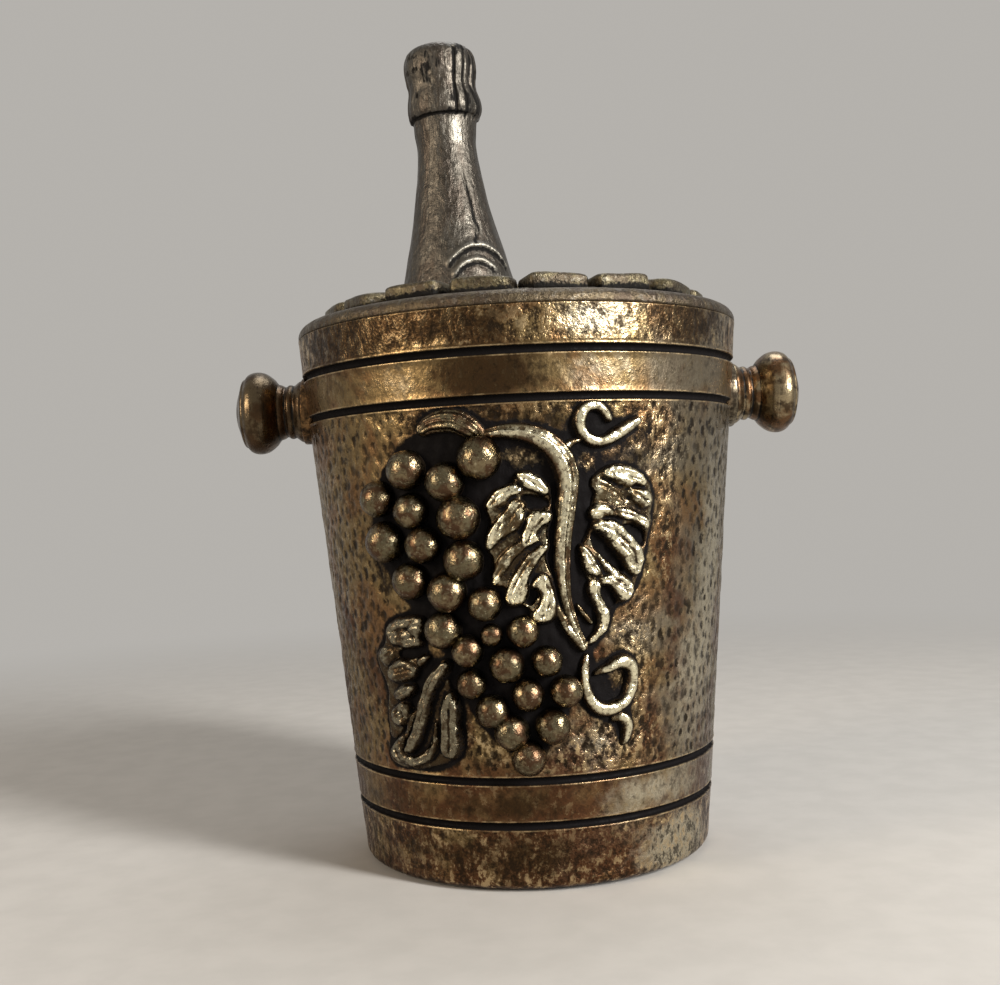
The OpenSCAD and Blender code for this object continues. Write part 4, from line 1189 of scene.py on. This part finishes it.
class AddKnobs(bpy.types.Operator):
    """Adds the two turned knobs, each with its shank"""

    bl_idname = "holder.add_knobs"
    bl_label = "Knobs"

    # Turned outline: distance from the boss and radius
    profile = (
        (0.0, 4.25), (0.3, 4.2), (0.6, 4.0), (0.9, 3.75), (1.15, 3.62), (1.45, 3.72), (1.8, 3.72),
        (2.1, 3.52), (2.35, 3.48), (2.65, 3.66), (3.0, 3.8), (3.25, 3.86), (3.5, 4.15), (3.8, 4.55),
        (4.2, 4.92), (4.6, 5.22), (5.0, 5.46), (5.4, 5.6), (5.8, 5.68), (6.2, 5.7), (6.6, 5.66),
        (7.05, 5.52), (7.4, 5.3), (7.66, 5.0), (7.8, 4.82), (7.95, 4.74), (8.12, 4.6), (8.3, 4.15),
        (8.5, 3.5), (8.75, 2.8), (8.95, 2.2), (9.13, 1.4), (9.23, 0.6), (9.25, 0.01),
    )
    # Dark hollows: distance from the boss and half width
    hollows = ((1.15, 0.22), (2.25, 0.24), (3.3, 0.16), (4.7, 0.06), (5.5, 0.06), (8.2, 0.1))
    columns = 96
    cast_waves = (0.05, 3.0, 9)
    shank_r, shank_tip, shank_edge = 1.5, 22.8, 0.3

    def execute(self, context):
        material = turned_brass(context.scene.holder_knob)
        outline = smooth_line(self.profile, 3)
        along = np.repeat(outline[:, :1], self.columns, 1)
        dark = sum(bell(along - place, width) for place, width in self.hollows) + 0.6 * (along < 0.1)
        ring = np.stack([outline[:, 1], outline[:, 0] + BOSS_OUT], -1)
        tip, root = self.shank_tip, BOSS_OUT + 1
        shank = turned([
            (HUB, tip), (self.shank_r - self.shank_edge, tip), (self.shank_r, tip + self.shank_edge),
            (self.shank_r, root), (HUB, root),
        ], 32)
        for name, side in (("right_knob", 1), ("left_knob", -1)):
            head = turned(ring, self.columns, None, {"crease": 0.8 * np.clip(dark, 0, 1)})
            head[0][:] += waves(head[0] + side * 40, self.cast_waves)[:, None] * [1, 1, 0]
            part = sideways(joined(head, shank), side)
            make_piece(f"{name}_turned", part, "bucket", material, [name])
        return {"FINISHED"}


class AddLid(bpy.types.Operator):
    """Adds the lid with its rolled edge, its locating ring and the boss of the lift tube"""

    bl_idname = "holder.add_lid"
    bl_label = "Lid"

    edge_r = 1.5
    ring_out, ring_t, ring_h = 27.67, 1.2, 2.4
    boss_r, boss_h, bore_r = 4.3, 4.0, 3.12
    columns = 256
    # Unevenness of the rolled edge: height, size and seed of each grain, and how far it sinks
    edge_waves = ((0.06, 5, 41), (0.03, 1.6, 42))
    edge_sink = 0.09

    def execute(self, context):
        look = context.scene.holder_pewter
        z = BUCKET_H
        rim = cone(BUCKET_H)
        boss_z, ring_z = z - self.boss_h, z - self.ring_h
        ring_in = self.ring_out - self.ring_t
        profile = [
            (self.bore_r, z), (self.bore_r, boss_z), (self.boss_r, boss_z), (self.boss_r, z),
            (ring_in, z), (ring_in, ring_z), (self.ring_out, ring_z), (self.ring_out, z),
            (rim - 0.12, z), (rim - 0.02, z + 0.05),
            *arc_points(rim - self.edge_r, LID_TOP - self.edge_r, self.edge_r, 0, 90, 10),
            (rim - 4, LID_TOP), (rim - 12, LID_TOP), (HUB, LID_TOP),
        ]
        r, height = np.array(profile).T
        turn = turns_round(self.columns)
        around = np.stack([np.sin(turn), np.cos(turn), 0 * turn], -1) * rim
        edge = ease(rim - 2.5, rim - 0.5, r)[:, None]
        push = edge * (waves(around, *self.edge_waves) - self.edge_sink)[None, :]
        seam = 0.32 * ease(z + 0.3, z + 0.02, height)[:, None] * edge + 0 * push
        part = turned(profile, self.columns, push, {"crease": seam})
        closing = turned([(HUB, z), (self.bore_r, z)], self.columns)
        material = pewter("lid_pewter", look, look.lid, 1.0, 0.3)
        make_piece("lid_rolled", joined(part, closing), "lift", material, ["lid"])
        return {"FINISHED"}


class AddIce(bpy.types.Operator):
    """Adds the bed of flattened ice cubes round the bottle"""

    bl_idname = "holder.add_ice"
    bl_label = "Ice"

    plate_r, plate_t = 26.0, 0.6
    cube_w, cube_depth, cube_h = 7.6, 6.2, 1.9
    cube_steps, cube_power = 9, 6
    row_gap = 0.7
    row_turns = (258.5, 12, 33)
    row_numbers = 30
    # Unevenness of a cube's top and of its sides: height, size and seed
    top_waves, side_waves = (0.16, 2.6, 51), (0.05, 3.0, 52)
    # Largest turn and tilt of a cube, in degrees
    spin_most, tilt_most = 7, 3
    bottle_x, free_r = -7.4, 6.8

    def cube(self, middle, turn, number):
        """A pillow-shaped cube, turned and tilted a little by its own number."""
        n = self.cube_steps
        a, b = np.meshgrid(np.linspace(-1, 1, n), np.linspace(-1, 1, n))
        points, faces = [], []
        for axis in range(3):
            for sign in (-1, 1):
                faces.append(quads(n, n, closed=False) + n * n * len(points))
                points.append(np.roll(np.stack([sign + 0 * a, a, b * sign], -1), axis, -1).reshape(-1, 3))
        p = np.concatenate(points)
        p = p / np.power(np.sum(np.abs(p) ** self.cube_power, 1), 1 / self.cube_power)[:, None]
        p = p * np.array([self.cube_depth, self.cube_w, self.cube_h + self.plate_t]) / 2
        p = p + np.array([0, 0, (self.cube_h - self.plate_t) / 2])
        p[:, 2] += waves(p * [1, 1, 0] + number * 17.3, self.top_waves) * (p[:, 2] > 0.5)
        p[:, :2] *= 1 + waves(p * [1, 1, 0] + number * 9.1, self.side_waves)[:, None]
        spin = turn + self.spin_most * math.sin(math.radians(137 * number))
        slope = self.tilt_most * math.cos(math.radians(97 * number))
        tilt = self.tilt_most * math.sin(math.radians(211 * number))
        # Cubes darken towards their feet: painted shade between the cubes
        low = 1 - ease(0.0, 1.1, p[:, 2])
        p = p @ rotation((spin, "Z"), (slope, "Y"), (tilt, "X")).T + middle
        return p, np.concatenate(faces), {"crease": 0.9 * low}

    def execute(self, context):
        look = context.scene.holder_pewter
        top, low, r = LID_TOP + self.plate_t, LID_TOP - 0.02, self.plate_r
        points, faces, _ = turned([(HUB, low), (r, low), (r, top - 0.2), (r - 0.2, top), (HUB, top)], ROUND)
        # The plate between the cubes is darkened as painted shade
        parts = [(points, faces, {"crease": np.full(len(points), 0.6)})]
        reach = self.plate_r - self.cube_depth / 2
        for row, phase in enumerate(self.row_turns):
            r = reach - row * (self.cube_depth + self.row_gap)
            count = int(180 / math.degrees(math.asin((self.cube_w + self.row_gap) / 2 / r)))
            for i in range(count):
                angle = phase + 360 * i / count
                x, y = r * math.cos(math.radians(angle)), r * math.sin(math.radians(angle))
                if math.hypot(x - self.bottle_x, y) > self.free_r:
                    parts.append(self.cube((x, y, top), angle, row * self.row_numbers + i))
        material = pewter("ice_pewter", look, look.ice, 1.0, 0.35)
        make_piece("ice_cubes", joined(*parts), "lift", material, ["ice_bed"])
        return {"FINISHED"}


class AddBottle(bpy.types.Operator):
    """Adds the leaning bottle neck with its pleated foil cap"""

    bl_idname = "holder.add_bottle"
    bl_label = "Bottle"

    foot_x, lean = -7.4, 2.5
    columns, steps = 320, 10
    # Turned outline: height above the lid and radius
    neck = (
        (-0.05, 8.8), (2.0, 8.55), (4.0, 8.2), (7.6, 7.3), (9.75, 6.81), (12.5, 6.1), (16.3, 5.3),
        (21.0, 4.52), (24.7, 4.15), (27.0, 4.3), (28.6, 4.42),
    )
    foil = (
        (28.95, 4.8), (29.8, 5.0), (31.2, 4.95), (32.6, 4.76), (33.6, 4.8), (34.6, 5.0), (35.8, 5.1),
        (37.0, 5.0), (38.0, 4.6), (38.6, 3.9), (39.0, 2.5), (39.1, 0.01),
    )
    # Lines on the front, in the photograph's pixels; each painted highlight has its strength first
    pleats_px = (
        ((453, 47), (454, 80), (456, 113)), ((462, 48), (463, 80), (465, 117)),
        ((470, 56), (470, 88), (474, 120)),
    )
    seam_px = ((463, 176), (469, 195), (473, 211), (474, 219), (478, 229), (475, 243))
    painted_highlights_px = (
        (0.9, (453, 121), (457, 136)), (0.35, (446, 93), (450, 105)), (0.12, (430, 66), (441, 70)),
        (0.15, (448, 64), (449, 76)),
    )
    folds_px = (
        ((449, 262), (457, 253), (466, 247), (476, 245), (487, 248), (497, 256), (505, 268)),
        ((455, 274), (463, 264), (474, 260), (485, 262), (495, 270)),
    )
    fold_drop = 0.62
    # Heights above the lid: the foil cap and its pleats with their soft ends, its lower edge and its bulge
    cap_span, pleat_span = (28.7, 29.2, 38.2, 39.0), (26.5, 30, 37.5, 39)
    cap_edge, cap_edge_w = 28.72, 0.26
    bulge_z, bulge_w, bulge_rise = 30.4, 2.0, 0.4
    cast_waves = ((0.07, 1.4, 62), (0.04, 0.6, 63))
    # Widths and depths of the lines on the front
    pleat_w, pleat_cut = 0.2, 0.28
    seam_w, seam_cut = 0.26, 0.2
    highlight_w = 0.7
    fold_w, fold_rise = 0.4, 0.4

    def near(self, turn, h, pixels, outline):
        """Distance along the bottle's surface from a line of pixels."""
        px, py = np.array(pixels, float).T
        height, r = 0 * px + 20, 0 * px + 6
        for _ in range(5):
            hit, _ = on_cone(px, py, r, 0, self.foot_x - math.tan(math.radians(self.lean)) * height)
            height = hit[:, 2] - LID_TOP
            r = np.interp(height, *outline.T)
        path = smooth_line(np.stack([np.arctan2(hit[:, 0], -hit[:, 1]), height], -1), 4)
        mean_r = np.interp(path[:, 1].mean(), *outline.T)
        return path_distance(np.stack([turn * mean_r, h], -1), path * [mean_r, 1])

    def execute(self, context):
        look = context.scene.holder_pewter
        outline = smooth_line([*self.neck, *self.foil], self.steps)
        h = np.repeat(outline[:, :1], self.columns, 1)
        turn = turns_round(self.columns)[None, :] + 0 * h
        around = np.stack([np.sin(turn) * 5, np.cos(turn) * 5, h * 0.25], -1)

        def mark(pixels, width, drop=0.0):
            return bell(self.near(turn, h + drop, pixels, outline), width)

        capped = span(h, *self.cap_span)
        behind = ease(0.9, 1.3, np.abs(turn + 0.2))
        pleats = np.abs(np.sin(9 * turn + 1.5 * grain(around, 2.5, 61))) * behind
        push = waves(around, *self.cast_waves) * (1 - ease(38, 39, h))
        push = push - look.pleat_depth / MM * pleats * span(h, *self.pleat_span)
        push = push + self.bulge_rise * bell(h - self.bulge_z, self.bulge_w) * ease(0.2, 1.0, np.sin(turn))
        # A painted shadow under the foil cap's lower edge, fainter on the +X side
        crease = bell(h - self.cap_edge, self.cap_edge_w) * (1 - 0.8 * ease(0.3, 0.9, np.sin(turn)))
        crease = crease + 0.8 * pleats * capped * (pleats > 0.8)
        crease = crease + 0.62 * capped * ease(-0.15, 0.55, grain(around * [1, 1, 4], 0.9, 65))
        for pixels in self.pleats_px:
            valley = mark(pixels, self.pleat_w)
            push = push - self.pleat_cut * valley
            crease = crease + 0.95 * valley
        valley = mark(self.seam_px, self.seam_w)
        push = push - self.seam_cut * valley
        crease = crease + valley * ease(-0.7, -0.1, grain(around, 0.5, 64))
        rub = 0 * h
        # Painted highlights on the bottle's front
        for share, *pixels in self.painted_highlights_px:
            rub = np.maximum(rub, share * mark(pixels, self.highlight_w))
        for pixels in self.folds_px:
            ridge = mark(pixels, self.fold_w)
            # Fold ridges are brightened: rubbed wear and painted highlight
            rub = np.maximum(rub, 0.7 * ridge)
            push = push + self.fold_rise * ridge - 0.12 * mark(pixels, 0.32, self.fold_drop)
            crease = crease + 0.9 * mark(pixels, 0.36, self.fold_drop)
        points, faces, layers = turned(outline[:, ::-1], self.columns, push, {"crease": crease, "rub": rub})
        lean = math.radians(self.lean)
        x = points[:, 0] * math.cos(lean) - points[:, 2] * math.sin(lean) + self.foot_x
        z = points[:, 0] * math.sin(lean) + points[:, 2] * math.cos(lean) + LID_TOP
        part = (np.stack([x, points[:, 1], np.maximum(z, LID_TOP)], -1), faces, layers)
        material = pewter("bottle_pewter", look, look.bottle, 4.0, 0.22, 0.52)
        make_piece("bottle_neck", part, "lift", material, ["champagne_bottle"])
        return {"FINISHED"}


class AddFelt(bpy.types.Operator):
    """Adds the felt pad under the base"""

    bl_idname = "holder.add_felt"
    bl_label = "Felt pad"

    def execute(self, context):
        low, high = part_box("felt_pad")
        r, top, bottom = high.x / MM, high.z / MM, low.z / MM
        profile = [
            (HUB, bottom), (r - 6, bottom), (r - 0.25, bottom), (r - 0.05, bottom + 0.15), (r, bottom + 0.4),
            (r - 0.05, top - 0.12), (r - 0.2, top), (HUB, top),
        ]
        points, faces, _ = turned(profile, 180)
        edge = ease(r - 1, r, np.hypot(points[:, 0], points[:, 1]))
        points[:, :2] *= (1 - 0.003 * edge * (1 + grain(points, 0.7, 71)))[:, None]
        material = felt(context.scene.holder_inner.felt)
        pad = make_piece("felt_disc", (points, faces, {}), "bucket", material, ["felt_pad"])
        return {"FINISHED"}


class FinishInside(bpy.types.Operator):
    """Gives the cup, tray, tube, rod, rings, nuts and screws their finishes"""

    bl_idname = "holder.finish_inside"
    bl_label = "Inner pieces"

    def execute(self, context):
        look = context.scene.holder_inner
        steel = plain_metal("zinc_steel", tuple(look.steel))
        finishes = {
            "liner_cup": moulded_plastic("cup_plastic", tuple(look.cup)),
            "pick_tray": moulded_plastic("tray_plastic", tuple(look.tray)),
            "lift_tube": plain_metal("drawn_brass", tuple(look.tube)),
            "guide_rod": steel,
        }
        finishes["pick_divider"] = finishes["pick_tray"]
        for node in ("knob_washers", "knob_nuts", "base_screw", "tray_ring", "divider_ring", "bottle_screw"):
            finishes[node] = steel
        for node, material in finishes.items():
            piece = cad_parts[node]
            if not piece.material_slots:
                raise RuntimeError(f"{node} has no material slot")
            for slot in piece.material_slots:
                slot.material = material
        return {"FINISHED"}


class AddStage(bpy.types.Operator):
    """Adds the floor, the background, the lamps and the camera"""

    bl_idname = "holder.add_stage"
    bl_label = "Stage"

    floor_r = 4000
    fade_from, fade_to = 110, 330

    def execute(self, context):
        size = context.scene.holder_stage
        self.floor(size)
        self.world(size)
        # Each lamp: power, colour, azimuth and elevation, distance, width and height
        self.lamp("key_lamp", size.key_power, (1.0, 0.985, 0.96), 47, 24, 520, (85, 300))
        self.lamp("fill_lamp", size.fill_power, (1.0, 0.84, 0.66), -62, 20, 480, (140, 240))
        self.lamp("top_lamp", size.top_power, (0.95, 0.97, 1.0), 160, 70, 520, (260, 260))
        self.camera()
        return {"FINISHED"}

    def floor(self, size):
        points, faces, _ = turned([*[(r, 0) for r in np.geomspace(self.floor_r, 20, 24)], (HUB, 0)], 96)
        mesh = bpy.data.meshes.new("floor")
        mesh.from_pydata((points * MM).tolist(), [], faces.tolist())
        r = Recipe("pale_floor")
        paper = tuple(c * 0.98 for c in size.background)
        colour = r.mix(1.0, paper, r.between(r.noise(6, 4), 0.3, 0.7, 0.97, 1.03), "MULTIPLY")
        r.finish(base_color=colour, roughness=0.9, specular_ior_level=0.0)
        glow = r.node("ShaderNodeEmission", {"Color": tuple(size.background), "Strength": 1.0})
        far = r.node("ShaderNodeVectorMath", {0: r.place}, operation="LENGTH").outputs["Value"]
        part = r.between(far, self.fade_from * MM, self.fade_to * MM)
        blend = r.node("ShaderNodeMixShader", {0: part, 1: r.shader.outputs[0], 2: glow.outputs[0]})
        r.put(r.tree.nodes["Material Output"].inputs["Surface"], blend.outputs[0])
        mesh.materials.append(r.material)
        added("floor", mesh)

    def world(self, size):
        """The background as the camera and reflections see it, and dimmer as a light from all round."""
        world = bpy.data.worlds.new("studio")
        world.use_nodes = True
        nodes = Nodes(world.node_tree)
        shown = nodes.tree.nodes["Background"]
        nodes.put(shown.inputs["Color"], tuple(size.background))
        light = nodes.node(
            "ShaderNodeBackground", {"Color": tuple(size.background), "Strength": size.world_light}
        )
        rays = nodes.node("ShaderNodeLightPath").outputs
        seen = rays["Is Camera Ray"]
        for kind in ("Is Glossy Ray", "Is Transmission Ray"):
            seen = nodes.most(seen, rays[kind])
        blend = nodes.node("ShaderNodeMixShader", {0: seen, 1: light.outputs[0], 2: shown.outputs[0]})
        nodes.put(nodes.tree.nodes["World Output"].inputs["Surface"], blend.outputs[0])
        bpy.context.scene.world = world

    def lamp(self, name, power, colour, azimuth, elevation, distance, sides):
        """A soft lamp that faces the bucket; azimuth 0 is the camera's side, positive to the right."""
        data = bpy.data.lights.new(name, "AREA")
        data.shape = "RECTANGLE"
        data.energy, data.color = power, colour
        data.size, data.size_y = (side * MM for side in sides)
        lamp = added(name, data)
        a, e = math.radians(azimuth), math.radians(elevation)
        away = Vector((math.sin(a) * math.cos(e), -math.cos(a) * math.cos(e), math.sin(e)))
        lamp.location = (Vector((0, 0, BUCKET_H / 2)) + away * distance) * MM
        lamp.rotation_euler = away.to_track_quat("Z", "Y").to_euler()

    def camera(self):
        right, forward, up = camera_axes()
        data = bpy.data.cameras.new("camera")
        data.sensor_width = SENSOR_W
        data.lens = FOCAL_PX / PHOTO_W * SENSOR_W
        data.clip_start, data.clip_end = 0.005, 20
        camera = added("camera", data)
        turns = Matrix((right, up, -forward)).transposed()
        camera.matrix_world = Matrix.Translation(Vector(CAMERA_PLACE) * MM) @ turns.to_4x4()
        bpy.context.scene.camera = camera


PIECES = (AddBucket, AddRelief, AddKnobs, AddLid, AddIce, AddBottle, AddFelt, FinishInside, AddStage)
SIZES = {
    "holder_bucket": HolderBucketSizes,
    "holder_relief": HolderReliefSizes,
    "holder_pewter": HolderPewterSizes,
    "holder_knob": HolderKnobSizes,
    "holder_inner": HolderInnerColours,
    "holder_stage": HolderStageSizes,
}


class HolderPanel(bpy.types.Panel):
    """Lists the pieces and their sizes"""

    bl_idname = "VIEW3D_PT_toothpick_holder"
    bl_label = "Toothpick holder"
    bl_space_type = "VIEW_3D"
    bl_region_type = "UI"
    bl_category = "Toothpick holder"

    def draw(self, context):
        for piece in PIECES:
            self.layout.operator(piece.bl_idname)
        for name, group in SIZES.items():
            box = self.layout.box()
            box.label(text=group.__doc__)
            for prop in group.__annotations__:
                box.prop(getattr(context.scene, name), prop)


def register():
    for group in SIZES.values():
        bpy.utils.register_class(group)
    for name, group in SIZES.items():
        setattr(bpy.types.Scene, name, PointerProperty(type=group))
    for piece in (*PIECES, HolderPanel):
        bpy.utils.register_class(piece)


def unregister():
    for piece in reversed((*PIECES, HolderPanel)):
        bpy.utils.unregister_class(piece)
    for name in SIZES:
        delattr(bpy.types.Scene, name)
    for group in reversed(SIZES.values()):
        bpy.utils.unregister_class(group)


def main():
    register()
    for piece in PIECES:
        group, name = piece.bl_idname.split(".")
        getattr(getattr(bpy.ops, group), name)()
    bpy.context.scene.view_settings.view_transform = "Standard"


if __name__ == "__main__":
    main()
